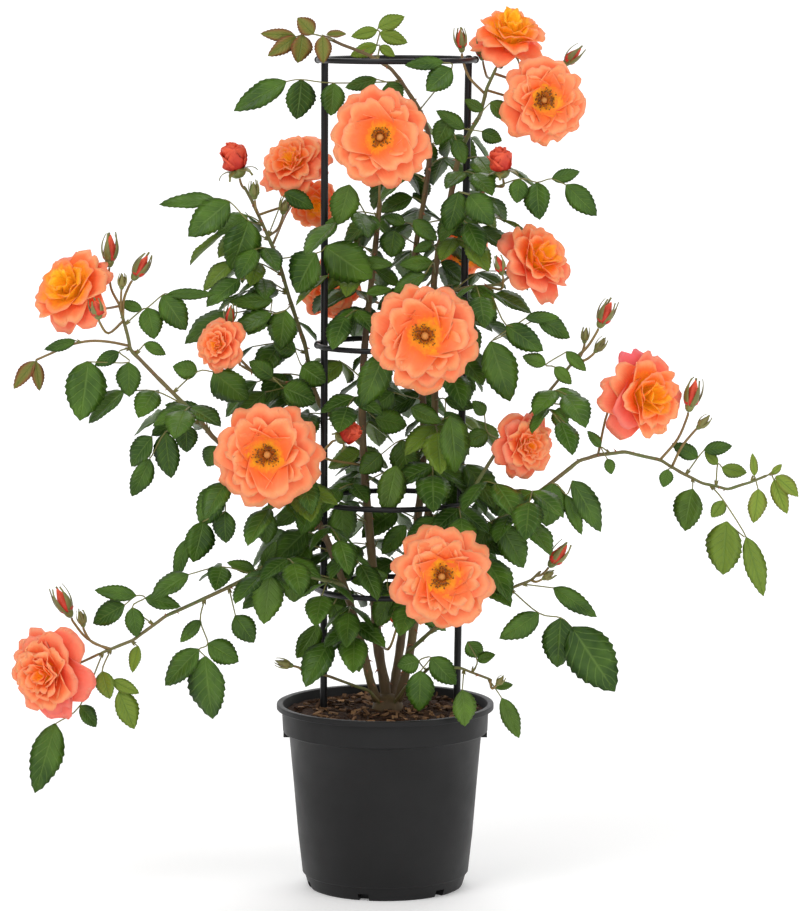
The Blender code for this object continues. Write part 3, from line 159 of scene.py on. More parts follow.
# Brightness: of the petals' painted glow, of the world, and of the floor's painted glow near the pot and
# far from it
PETAL_PAINTED_GLOW = 0.06
WORLD_LIGHT = 0.56
FLOOR_PAINTED_GLOW = (0.16, 0.48)
FLOOR_PAINTED_GLOW_REACH = (0.6, 4.0)
# The floor: half its width, its front edge, and where and how roundly it rises behind
FLOOR_HALF = 10
FLOOR_FRONT = -9.0
SWEEP_START = 6.5
SWEEP_RADIUS = 2.0
SWEEP_TOP = 8.0
# Lamps: place, side of the square and power
LAMPS = {
    "key": ((-1.6, -2.2, 2.8), 1.8, 42),
    "front": ((0.5, -4.6, 1.0), 3.0, 28),
    "fill": ((2.4, -1.6, 1.4), 2.4, 18),
    "back": ((0.4, 2.0, 2.8), 2.4, 34),
}
LAMP_AIM = Vector((0, 0, 0.42))

Bloom = namedtuple("Bloom", "at depth width turn lift branch node")
Bud = namedtuple("Bud", "at depth length width lean branch node")
Branch = namedtuple("Branch", "start_radius end_radius points")
Leaf = namedtuple("Leaf", "branch node depth blades")

# Blooms: picture place, depth, width in pixels, turn and lift of the face in degrees, and the
# branch that bears it with the picture place where its stalk leaves that branch
BLOOMS = {
    "bloom_top": Bloom((509, 38), 0.0, 80, 15, 55, "shoot_top_right", (497, 66)),
    "bloom_top_right": Bloom((545, 100), -0.035, 94, 18, 5, "shoot_top_right", (487, 90)),
    "bloom_upper": Bloom((380, 137), -0.1, 107, 0, 5, "cane_middle", (378, 210)),
    "bloom_behind_stake": Bloom((294, 164), 0.045, 80, -30, 35, "shoot_left_upper", (258, 214)),
    "bloom_upper_back": Bloom((315, 203), 0.075, 56, 5, -15, "shoot_left_upper", (272, 245)),
    "bloom_right_upper": Bloom((533, 262), -0.03, 88, 40, 25, "shoot_right_upper", (500, 285)),
    "bloom_back": Bloom((465, 250), 0.085, 56, 10, 5, "cane_back", (440, 300)),
    "bloom_middle": Bloom((425, 336), -0.13, 115, 0, 4, "cane_right", (435, 352)),
    "bloom_small_left": Bloom((220, 345), -0.05, 60, -30, 10, "shoot_left_mid", (240, 365)),
    "bloom_left": Bloom((267, 455), -0.12, 112, -3, 3, "cane_left", (282, 478)),
    "bloom_low": Bloom((442, 577), -0.15, 110, 3, 3, "cane_right", (424, 545)),
    "bloom_right_small": Bloom((525, 445), -0.07, 75, 32, 0, "shoot_right_mid", (500, 448)),
    "bloom_right": Bloom((641, 396), -0.055, 99, 32, 6, "arch_right", (598, 455)),
    "bloom_far_left": Bloom((74, 291), -0.035, 93, -34, 28, "arch_left", (119, 306)),
    "bloom_low_left": Bloom((49, 673), -0.085, 105, -34, -3, "arch_lower_left", (99, 654)),
    "bloom_inner": Bloom((330, 288), 0.075, 66, -5, 5, "cane_back", (415, 315)),
}
# Blooms that face the viewer show a boss of stamens
OPEN_BLOOMS = ("bloom_top_right", "bloom_upper", "bloom_middle", "bloom_left", "bloom_low")

# Buds: picture place of the middle, depth, length and width in pixels, and the lean from upright
BUDS = {
    "bud_top_left_pair": Bud((461, 41), -0.025, 24, 12, -5, "shoot_top_right", (479, 92)),
    "bud_top_sepal": Bud((481, 50), 0.005, 22, 12, -10, "shoot_top_right", (489, 78)),
    "bud_top_far": Bud((572, 57), 0.02, 26, 13, 45, "shoot_top_right", (492, 72)),
    "bud_right_open": Bud((501, 164), -0.045, 30, 27, -8, "shoot_right_bud", (496, 186)),
    "bud_left_open": Bud((235, 162), -0.005, 34, 30, -15, "shoot_left_upper", (244, 190)),
    "bud_small_a": Bud((254, 191), -0.015, 18, 11, -5, "shoot_left_upper", (258, 214)),
    "bud_far_left_tall": Bud((110, 251), -0.03, 34, 16, 3, "arch_left", (119, 304)),
    "bud_far_left_lean": Bud((140, 268), -0.05, 30, 15, 32, "arch_left", (123, 318)),
    "bud_right_tall": Bud((605, 315), -0.055, 30, 16, 25, "shoot_right_mid", (575, 360)),
    "bud_right_arch": Bud((692, 396), -0.045, 34, 17, 12, "arch_right", (660, 460)),
    "bud_low_left": Bud((64, 603), -0.06, 34, 17, -25, "arch_lower_left", (108, 648)),
    "bud_middle_open": Bud((347, 434), -0.06, 26, 24, 60, "cane_middle", (362, 465)),
    "bud_low_right": Bud((558, 556), -0.07, 30, 16, 38, "shoot_lower_right", (535, 577)),
}
# Small buds that are one with their branch
SMALL_BUDS = (
    Bud((122, 282), -0.055, 16, 9, 5, "arch_left", (121, 312)),
    Bud((585, 336), -0.05, 16, 9, 5, "shoot_right_mid", (571, 367)),
    Bud((600, 346), -0.065, 18, 10, 40, "shoot_right_mid", (575, 362)),
    Bud((703, 423), -0.045, 18, 10, 45, "arch_right", (672, 466)),
    Bud((82, 619), -0.075, 18, 10, -10, "arch_lower_left", (110, 648)),
    Bud((548, 576), -0.08, 14, 9, 60, "shoot_lower_right", (531, 580)),
    Bud((285, 664), -0.045, 18, 10, -75, "shoot_base_left", (300, 670)),
    Bud((284, 207), 0.02, 16, 11, 10, "shoot_left_upper", (268, 236)),
    Bud((398, 619), -0.06, 16, 16, 10, "cane_middle", (376, 640)),
    Bud((230, 316), -0.035, 22, 11, 5, "shoot_left_mid", (252, 372)),
    Bud((500, 266), -0.066, 20, 12, -14, "shoot_right_upper", (486, 286)),
    Bud((500, 681), -0.085, 12, 8, 40, "shoot_base_right", (490, 679)),
    Bud((97, 310), -0.088, 20, 15, -12, "arch_left", (121, 322)),
)

# Branches: the radii of both ends, and points read as picture x, picture y and depth in millimetres
BRANCHES = {
    "cane_left": Branch(0.004, 0.0024, [
        (377, 700, -3), (370, 680, -9), (363, 650, -16), (350, 603, -30), (329, 545, -35), (310, 508, -42),
        (288, 482, -48), (252, 461, -50), (224, 447, -50),
    ]),
    "cane_middle": Branch(0.0048, 0.0022, [
        (386, 701, 4), (384, 680, 6), (377, 640, 8), (373, 570, 8), (365, 480, 4), (362, 400, 6),
        (366, 330, 8), (374, 260, 4), (380, 200, -6),
    ]),
    "cane_right": Branch(0.0042, 0.0024, [
        (398, 700, -3), (404, 680, -8), (412, 640, -12), (420, 570, -12), (430, 500, -8), (435, 400, 0),
        (434, 280, 6), (445, 225, 4), (457, 165, -6), (463, 145, -10),
    ]),
    "cane_back": Branch(0.0042, 0.0014, [
        (390, 702, 13), (395, 680, 24), (404, 620, 36), (415, 540, 42), (424, 450, 44), (420, 360, 44),
        (412, 280, 40), (424, 200, 30), (430, 150, 22), (424, 119, 10), (408, 92, 2), (391, 69, -2),
        (366, 54, -4), (343, 45, -6), (324, 36, -10),
    ]),
    "shoot_top_right": Branch(0.0022, 0.0014, [
        (463, 145, -10), (470, 132, -20), (480, 115, -24), (487, 88, -22), (497, 66, -14),
    ]),
    "shoot_right_bud": Branch(0.0016, 0.0012, [
        (448, 212, 0), (458, 204, -12), (475, 196, -28), (496, 186, -40),
    ]),
    "shoot_right_upper": Branch(0.0018, 0.0013, [
        (434, 300, 4), (448, 292, -14), (470, 287, -30), (486, 286, -34), (502, 284, -34),
    ]),
    "shoot_right_mid": Branch(0.002, 0.0012, [
        (428, 530, -10), (442, 524, -30), (457, 512, -50), (470, 494, -58), (481, 476, -58),
        (500, 446, -58), (532, 412, -55), (556, 383, -55), (582, 351, -55),
    ]),
    "arch_right": Branch(0.0024, 0.0012, [
        (414, 612, -12), (430, 590, -34), (450, 560, -56), (480, 530, -60), (512, 511, -60),
        (546, 487, -60), (579, 461, -55), (598, 455, -50), (625, 452, -45), (660, 460, -40),
        (682, 473, -36), (702, 483, -34), (728, 489, -32), (751, 482, -30), (768, 475, -30),
    ]),
    "shoot_lower_right": Branch(0.002, 0.0012, [
        (408, 652, -12), (428, 634, -40), (455, 612, -64), (480, 598, -72), (504, 591, -74),
        (531, 580, -74), (541, 571, -74),
    ]),
    "shoot_base_right": Branch(0.0017, 0.0011, [
        (393, 705, -7), (405, 688, -26), (430, 668, -52), (460, 668, -72), (492, 680, -80),
    ]),
    "shoot_base_left": Branch(0.0016, 0.0011, [
        (382, 705, -7), (369, 691, -22), (350, 684, -32), (328, 676, -40), (302, 670, -45),
    ]),
    "arch_lower_left": Branch(0.0022, 0.0014, [
        (346, 591, -31), (341, 584, -50), (331, 582, -63), (309, 576, -66), (278, 569, -66),
        (251, 576, -66), (225, 589, -66), (199, 601, -68), (166, 616, -70), (133, 640, -70),
        (99, 654, -70),
    ]),
    "arch_left": Branch(0.0023, 0.0014, [
        (224, 447, -50), (212, 436, -50), (199, 419, -50), (182, 402, -50), (156, 376, -50),
        (131, 350, -48), (127, 333, -46), (119, 304, -45),
    ]),
    "shoot_left_upper": Branch(0.0025, 0.0014, [
        (363, 445, 4), (345, 428, 18), (321, 407, 24), (313, 386, 22), (305, 345, 18), (290, 300, 10),
        (278, 259, 5), (263, 225, 0), (252, 201, 0), (244, 186, -2),
    ]),
    "shoot_left_mid": Branch(0.0017, 0.0012, [
        (313, 386, 22), (302, 385, 8), (285, 383, -14), (262, 377, -34), (240, 365, -46),
    ]),
}
# The thin side branch of the left arch
SIDE_BRANCH = ("arch_left", [
    (130, 346, -47), (110, 342, -46), (90, 341, -45), (70, 345, -44), (52, 353, -42), (36, 360, -40),
])

# Leaves by branch, in the order they are placed: sheet place of the leaf's node, depth of its blades in
# millimetres, and for each blade the sheet places of base and tip and its width. The end blade is first.
LEAF_ROWS = (
    ("cane_back", (
        (562, 66, -10, (508, 61, 449, 59, 22), (510, 63, 462, 97, 26), (521, 60, 515, 109, 36),
         (540, 59, 513, 30, 32)),
        (575, 71, -26, (556, 62, 557, 109, 30)),
        (578, 72, 8, (562, 60, 597, 57, 15)),
        (648, 105, 10, (651, 48, 697, 28, 28), (654, 56, 702, 74, 26), (650, 52, 605, 63, 22),
         (649, 77, 604, 97, 24), (654, 79, 680, 97, 18)),
        (690, 142, -22, (493, 140, 402, 190, 42), (519, 137, 512, 206, 50), (575, 143, 570, 200, 42)),
        (700, 155, -40, (649, 136, 594, 152, 24), (668, 142, 688, 178, 40)),
        (725, 190, -88, (764, 107, 697, 112, 24), (778, 118, 734, 156, 44)),
    )),
    ("shoot_top_right", (
        (822, 210, -40, (845, 175, 878, 205, 30), (832, 190, 800, 172, 20)),
        (812, 224, -30, (830, 226, 864, 244, 26), (800, 222, 752, 190, 26)),
    )),
    ("cane_right", (
        (790, 270, -30, (775, 205, 750, 250, 38), (785, 240, 800, 282, 30)),
    )),
    ("shoot_right_bud", (
        (838, 325, -55, (975, 318, 1028, 372, 40), (950, 308, 1000, 296, 24), (925, 314, 928, 378, 45),
         (895, 308, 890, 350, 34)),
        (820, 338, -62, (808, 335, 848, 386, 50), (790, 330, 772, 400, 48)),
    )),
    ("shoot_right_upper", (
        (840, 492, -60, (925, 548, 985, 580, 36), (905, 548, 962, 545, 22), (872, 560, 935, 605, 42),
         (845, 588, 880, 692, 62)),
    )),
    ("shoot_right_mid", (
        (930, 692, -60, (962, 702, 970, 743, 30), (985, 700, 1010, 735, 22)),
        (965, 652, -64, (975, 605, 1010, 640, 22), (940, 628, 900, 612, 26), (955, 632, 985, 662, 24)),
        (870, 760, -50, (835, 715, 815, 690, 24), (840, 745, 800, 765, 34)),
    )),
    ("arch_right", (
        (1195, 820, -48, (1193, 842, 1178, 915, 50)),
        (1222, 836, -40, (1252, 898, 1243, 992, 62), (1285, 925, 1317, 1028, 38),
         (1246, 862, 1226, 892, 26)),
        (1160, 800, -52, (1150, 808, 1143, 840, 25)),
        (1185, 812, -30, (1212, 775, 1262, 768, 25), (1202, 788, 1158, 764, 28)),
        (1232, 838, -24, (1243, 805, 1287, 816, 26), (1236, 800, 1214, 778, 18)),
        (1295, 832, -30, (1306, 842, 1300, 902, 34), (1299, 820, 1297, 780, 15)),
        (1322, 818, -30, (1336, 820, 1377, 853, 28), (1333, 826, 1355, 886, 28),
         (1328, 816, 1348, 800, 13)),
        (1050, 778, -54, (1046, 790, 1054, 817, 20), (1035, 770, 1012, 742, 18)),
        (905, 868, -66, (985, 828, 1039, 916, 44), (952, 832, 942, 908, 60), (975, 852, 1003, 923, 26)),
        (850, 900, -60, (862, 905, 905, 978, 52), (845, 900, 822, 945, 34)),
    )),
    ("shoot_lower_right", (
        (900, 1010, -74, (953, 1012, 1028, 1062, 34)),
        (880, 1018, -80, (985, 1080, 1058, 1191, 84), (966, 1064, 959, 1153, 60),
         (928, 1056, 862, 1102, 42)),
    )),
    ("shoot_base_right", (
        (732, 1152, -66, (724, 1155, 722, 1226, 50), (742, 1132, 786, 1180, 42),
         (722, 1138, 684, 1148, 36)),
        (800, 1152, -92, (796, 1188, 802, 1252, 42)),
        (840, 1168, -72, (864, 1202, 896, 1273, 32), (852, 1184, 884, 1178, 16)),
        (815, 1155, -70, (805, 1105, 830, 1132, 32), (822, 1138, 852, 1126, 20)),
    )),
    ("arch_lower_left", (
        (500, 980, -68, (503, 976, 506, 1038, 46)),
        (472, 980, -78, (466, 988, 455, 1076, 54)),
        (440, 990, -62, (440, 983, 392, 967, 22), (452, 975, 476, 934, 24)),
        (395, 1012, -70, (405, 1060, 438, 1107, 42)),
        (352, 1030, -66, (354, 1130, 362, 1241, 66), (343, 1118, 281, 1181, 44),
         (358, 1108, 412, 1140, 44), (345, 1068, 310, 1106, 24)),
        (265, 1074, -74, (215, 1042, 158, 1073, 40), (235, 1026, 163, 1016, 28),
         (228, 1046, 236, 1098, 34), (250, 1030, 311, 1044, 28)),
        (225, 1104, -66, (238, 1112, 226, 1158, 22)),
        (190, 1118, -60, (205, 1190, 233, 1256, 40), (193, 1172, 240, 1194, 24),
         (176, 1156, 188, 1204, 34)),
        (178, 1122, -45, (95, 1246, 61, 1366, 56), (138, 1215, 168, 1252, 28)),
    )),
    ("arch_left", (
        (225, 600, -56, (152, 622, 140, 724, 70), (222, 624, 222, 684, 44), (205, 606, 163, 630, 25)),
        (215, 560, -40, (288, 506, 370, 507, 20), (280, 508, 321, 569, 48), (254, 530, 266, 584, 42),
         (245, 533, 204, 520, 20)),
        (232, 612, -52, (248, 592, 287, 610, 22)),
        (62, 620, -40, (60, 622, 22, 669, 26), (62, 623, 69, 673, 22)),
        (140, 588, -50, (130, 586, 76, 604, 20)),
        (300, 672, -44, (368, 640, 426, 692, 58), (340, 640, 298, 632, 34)),
        (345, 724, -56, (262, 752, 222, 803, 40), (258, 790, 228, 858, 36), (285, 744, 292, 826, 46),
         (320, 732, 322, 779, 40)),
        (360, 745, -46, (352, 712, 284, 695, 28)),
    )),
    ("cane_left", (
        (400, 778, -58, (372, 768, 355, 804, 34)),
        (432, 795, -52, (322, 928, 300, 1001, 26), (350, 898, 335, 969, 50), (388, 880, 387, 936, 42),
         (382, 838, 344, 906, 52)),
        (500, 832, -40, (457, 878, 458, 938, 44)),
        (545, 895, -62, (540, 858, 520, 922, 46)),
        (590, 1000, -56, (548, 1075, 512, 1136, 38), (575, 1040, 600, 1090, 40)),
    )),
    ("shoot_left_upper", (
        (455, 388, -20, (372, 344, 271, 347, 28), (395, 347, 324, 406, 56), (428, 380, 400, 466, 62)),
        (480, 446, -36, (560, 424, 642, 482, 72), (545, 436, 505, 504, 64)),
        (505, 522, -18, (470, 517, 394, 522, 30), (468, 540, 394, 571, 34), (492, 534, 480, 602, 54)),
        (462, 408, 18, (490, 332, 541, 358, 32)),
        (530, 620, 0, (510, 605, 470, 590, 36), (520, 630, 560, 660, 50)),
    )),
    ("shoot_left_mid", (
        (490, 662, -34, (488, 668, 545, 692, 50), (470, 650, 430, 622, 36)),
    )),
    ("cane_middle", (
        (640, 400, -52, (602, 318, 582, 389, 50)),
        (625, 640, -62, (662, 608, 624, 702, 56)),
        (622, 770, -60, (690, 755, 724, 829, 60), (680, 704, 672, 757, 48)),
        (628, 830, -50, (682, 802, 664, 887, 50)),
        (636, 900, -58, (587, 864, 593, 942, 48)),
    )),
    ("cane_right", (
        (745, 730, -80, (775, 716, 790, 816, 54)),
        (715, 1040, -86, (668, 992, 604, 1000, 34), (672, 1022, 650, 1080, 44)),
    )),
    ("cane_middle", (
        (626, 700, -10, (646, 721, 703, 733, 43)),
    )),
    ("cane_back", (
        (727, 690, 0, (677, 675, 637, 709, 40)),
        (735, 760, -6, (657, 782, 620, 815, 40), (691, 758, 706, 827, 54)),
        (725, 800, -4, (723, 815, 742, 858, 30)),
    )),
    ("cane_right", (
        (745, 850, -14, (680, 878, 646, 907, 34), (737, 876, 691, 888, 32)),
    )),
    ("cane_back", (
        (722, 930, 4, (699, 905, 656, 955, 34)),
    )),
    ("cane_right", (
        (748, 715, -16, (708, 702, 760, 727, 34)),
        (750, 690, -32, (766, 709, 806, 752, 28), (766, 687, 819, 701, 28)),
    )),
    ("cane_back", (
        (712, 420, -12, (679, 397, 673, 444, 46)),
    )),
    ("cane_middle", (
        (648, 400, -22, (656, 388, 613, 379, 27)),
    )),
    ("cane_back", (
        (716, 385, -6, (698, 384, 660, 372, 23)),
    )),
    ("cane_right", (
        (750, 400, -30, (712, 379, 753, 415, 30)),
        (748, 430, -18, (744, 417, 712, 434, 19)),
        (747, 470, -34, (733, 473, 675, 500, 31), (746, 452, 688, 457, 29)),
    )),
    ("cane_middle", (
        (636, 470, -14, (621, 452, 677, 455, 25)),
        (634, 520, -20, (631, 505, 675, 496, 20)),
    )),
)
LEAVES = [Leaf(branch, (x, y), depth / MILLIMETRES, blades)
          for branch, rows in LEAF_ROWS for x, y, depth, *blades in rows]
# Room kept free of leaves: a box inside each ring and one in the pot's mouth, as lowest and highest corners
FREE_ROOM = {
    "ring_1_inside": ((0.0112, -0.0475, 0.7558), (0.0582, 0.0475, 0.7662)),
    "ring_2_inside": ((-0.014, -0.034, 0.4968), (0.024, 0.061, 0.5072)),
    "ring_3_inside": ((-0.011, -0.055, 0.3538), (0.0345, 0.0295, 0.3642)),
    "ring_4_inside": ((-0.0043, -0.007, 0.2728), (0.0592, 0.034, 0.2832)),
    "pot_mouth": ((-0.052, -0.073, 0.166), (-0.014, 0.073, 0.176)),
}
# Leaves that fill the middle: how many on each branch, and the part of it that they grow on
FILLERS = {
    "cane_middle": (14, 0.25, 0.98),
    "cane_right": (14, 0.22, 0.98),
    "cane_back": (18, 0.15, 0.8),
    "cane_left": (6, 0.3, 0.85),
    "shoot_left_upper": (6, 0.2, 0.85),
    "shoot_right_upper": (3, 0.25, 0.9),
    "shoot_right_mid": (4, 0.2, 0.8),
    "arch_right": (2, 0.1, 0.4),
    "arch_lower_left": (2, 0.1, 0.35),
}

# Small buds that show red, by picture place, and a bud that is still green
RED_BUDS = ((398, 619), (230, 316), (97, 310), (500, 266))
GREEN_BUDS = ("bud_small_a",)

# Further leaves for the looks alone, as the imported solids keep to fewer
FINE_LEAVES = {
    "cane_middle": (30, 0.18, 0.98),
    "cane_right": (30, 0.18, 0.98),
    "cane_back": (36, 0.12, 0.8),
    "cane_left": (16, 0.2, 0.95),
    "shoot_left_upper": (16, 0.1, 0.9),
    "shoot_right_upper": (10, 0.1, 0.9),
    "shoot_right_mid": (10, 0.1, 0.8),
    "arch_right": (7, 0.05, 0.45),
    "arch_lower_left": (7, 0.05, 0.45),
    "arch_left": (3, 0.05, 0.35),
}


def seen_at(x, y, depth):
    """The point at this depth that shows at picture pixel x, y."""
    across = (x - MIDDLE_X) / FOCAL_PIXELS
    upward = (MIDDLE_Y - y) / FOCAL_PIXELS
    ahead = math.cos(EYE_PITCH) + upward * math.sin(EYE_PITCH)
    rise = upward * math.cos(EYE_PITCH) - math.sin(EYE_PITCH)
    reach = (depth - EYE.y) / ahead
    return EYE + Vector((across, ahead, rise)) * reach


def seen_on_sheet(x, y, depth):
    """The point at this depth that shows at this place on the enlarged sheet."""
    return seen_at(x / SHEET, y / SHEET, depth)


def picture_place(point):
    """The picture pixel at which a point shows."""
    ray = point - EYE
    ahead = ray.y * math.cos(EYE_PITCH) - ray.z * math.sin(EYE_PITCH)
    upward = ray.y * math.sin(EYE_PITCH) + ray.z * math.cos(EYE_PITCH)
    return MIDDLE_X + FOCAL_PIXELS * ray.x / ahead, MIDDLE_Y - FOCAL_PIXELS * upward / ahead


def pixel_size(depth):
    """The size in metres of one picture pixel at this depth."""
    return (depth - EYE.y) / FOCAL_PIXELS


def face_axis(turn, lift):
    """The way a bloom faces: turn is to the viewer's right, lift is upward, in degrees."""
    turn, lift = math.radians(turn), math.radians(lift)
    return Vector((math.sin(turn) * math.cos(lift), -math.cos(turn) * math.cos(lift), math.sin(lift)))


def lean_axis(lean):
    """The way a bud points: lean is from upright to the viewer's right, in degrees."""
    return Vector((math.sin(math.radians(lean)), -0.12, math.cos(math.radians(lean)))).normalized()


def facing_matrix(place, axis):
    """A frame at a place with its Z along an axis."""
    return Matrix.Translation(place) @ axis.to_track_quat("Z", "Y").to_matrix().to_4x4()


def bloom_matrix(bloom):
    """A bloom's frame, at its place and with its Z along its face."""
    return facing_matrix(seen_at(*bloom.at, bloom.depth), face_axis(bloom.turn, bloom.lift))


def bloom_radius(bloom):
    """A bloom's radius in metres."""
    return bloom.width * pixel_size(bloom.depth) / 2


def bloom_foot(bloom):
    """The foot of a bloom's hip, and the way it faces."""
    axis = face_axis(bloom.turn, bloom.lift)
    return seen_at(*bloom.at, bloom.depth) - axis * BLOOM_DEPTH * bloom_radius(bloom), axis


def bud_foot(bud):
    """The foot of a bud and the way it points."""
    axis = lean_axis(bud.lean)
    return seen_at(*bud.at, bud.depth) - axis * bud.length * pixel_size(bud.depth) / 2, axis


def trellis_x(height):
    """The trellis's middle at a height, as it leans a little."""
    share = (height - SOIL_TOP) / (STAKE_TOP - SOIL_TOP)
    return TRELLIS_FOOT_X + (TRELLIS_TOP_X - TRELLIS_FOOT_X) * share


def ring_radius(height):
    """The ring radius at a height."""
    low, top = RING_HEIGHTS["ring_4_low"], RING_HEIGHTS["ring_1_top"]
    share = (height - low) / (top - low)
    return RING_RADIUS_LOW + (RING_RADIUS_TOP - RING_RADIUS_LOW) * share


def stake_point(side, height):
    """The middle of a stake at a height, just inside the rings."""
    reach = ring_radius(height) - RING_TUBE - STAKE_RADIUS - SEAT_GAP
    return Vector((trellis_x(height) + side * reach, 0.0, height))


def dense_points(points, step):
    """Points along a path, no further apart than the step."""
    samples = [points[0]]
    for start, end in zip(points, points[1:]):
        count = max(1, math.ceil((end - start).length / step))
        samples += [start.lerp(end, index / count) for index in range(1, count + 1)]
    return samples


def smooth_path(points, per_span=2):
    """A Catmull-Rom curve through the points."""
    padded = [2 * points[0] - points[1], *points, 2 * points[-1] - points[-2]]
    path = []
    for index in range(1, len(padded) - 2):
        before, start, end, after = padded[index - 1: index + 3]
        for step in range(per_span):
            t = step / per_span
            path.append(0.5 * (2 * start + (end - before) * t
                               + (2 * before - 5 * start + 4 * end - after) * t ** 2
                               + (3 * start - before - 3 * end + after) * t ** 3))
    path.append(points[-1])
    return path


def stalk_path(start, end, arrival, sag, per_span=2):
    """A stalk that leaves one point and reaches another along a direction."""
    middle = end - arrival * (end - start).length * 0.45 + Vector((0, 0, sag))
    path = []
    for step in range(per_span + 1):
        t = step / per_span
        path.append(start * (1 - t) ** 2 + middle * 2 * t * (1 - t) + end * t ** 2)
    return path


def nearest_on(path, place):
    """The point of a path that shows nearest a picture place."""
    return min(dense_points(path, PATH_STEP), key=lambda point: math.dist(picture_place(point), place))


BOX_FACES = ((3, 2, 1, 0), (4, 5, 6, 7), (0, 1, 5, 4), (1, 2, 6, 5), (2, 3, 7, 6), (3, 0, 4, 7))
BOX_CORNERS = np.array([(x, y, z) for z in (-1, 1) for x, y in ((-1, -1), (1, -1), (1, 1), (-1, 1))]) / 2
# A blade's plain outline while it is placed: share of length, share of width and rise
LENS = [(1.0, 0.0, 0), (0.7, 0.36, 0), (0.26, 0.48, 0), (0.0, 0.0, 0), (0.26, -0.48, 0), (0.7, -0.36, 0),
        (0.45, 0.0, 1), (0.45, 0.0, -1)]
LENS_FACES = [(i, (i + 1) % 6, 6) for i in range(6)] + [((i + 1) % 6, i, 7) for i in range(6)]


def blade_corners(base, tip, normal, width, thickness):
    """A leaflet's plain lens, a little folded."""
    along = tip - base
    normal = (normal - along * normal.dot(along) / along.length_squared).normalized()
    side = normal.cross(along.normalized())
    corners = []
    for share, across, face in LENS:
        rise = face * thickness / 2 + abs(across * width) * BLADE_FOLD
        if share == 1.0:
            rise -= TIP_DROP * along.length
        corners.append(base + along * share + side * across * width + normal * rise)
    return corners


def box_round(points, margin=0.0):
    """The lowest and highest corners of the box round some points, with a margin."""
    return ([min(point[axis] for point in points) - margin for axis in range(3)],
            [max(point[axis] for point in points) + margin for axis in range(3)])


class Space:
    """The solids placed so far, to keep new ones clear of them."""

    def __init__(self):
        self.solids = []

    def add(self, owner, tree, corners):
        """Remember a solid by its owner's name, its faces and the box around it."""
        self.solids.append((owner, tree, *box_round(corners)))

    def add_run(self, owner, path, radius, sides):
        """Remember a round run as one prism for each step of its path."""
        for start, end in zip(path, path[1:]):
            way = (end - start).normalized()
            spoke = way.orthogonal().normalized() * radius
            ring = [Matrix.Rotation(turn * math.tau / sides, 3, way) @ spoke for turn in range(sides)]
            corners = [start + turn for turn in ring] + [end + turn for turn in ring]
            faces = [(i, (i + 1) % sides, (i + 1) % sides + sides, i + sides) for i in range(sides)]
            faces += [tuple(range(sides - 1, -1, -1)), tuple(range(sides, 2 * sides))]
            self.add(owner, BVHTree.FromPolygons(corners, faces), corners)

    def add_box(self, owner, low, high):
        """Remember a box by its lowest and highest corners."""
        corners = [Vector((x, y, z)) for z in (low[2], high[2])
                   for x, y in ((low[0], low[1]), (high[0], low[1]), (high[0], high[1]), (low[0], high[1]))]
        self.add(owner, BVHTree.FromPolygons(corners, BOX_FACES), corners)

    def near(self, low, high, skip):
        """The solids whose boxes meet a box."""
        for owner, tree, other_low, other_high in self.solids:
            if owner in skip:
                continue
            if all(other_low[a] < high[a] and low[a] < other_high[a] for a in range(3)):
                yield tree

    def blade_is_clear(self, corners, skip=()):
        """Whether a blade crosses nothing."""
        blade = BVHTree.FromPolygons(corners, LENS_FACES)
        return not any(tree.overlap(blade) for tree in self.near(*box_round(corners), skip))

    def stalk_is_clear(self, points, radius, skip=()):
        """Whether a round stalk along these points stays clear of everything."""
        reach = radius + 2 * SEAT_GAP
        samples = dense_points(points, TEST_STEP)
        for tree in self.near(*box_round(points, reach), skip):
            if any(tree.find_nearest(sample, reach)[0] is not None for sample in samples):
                return False
        return True


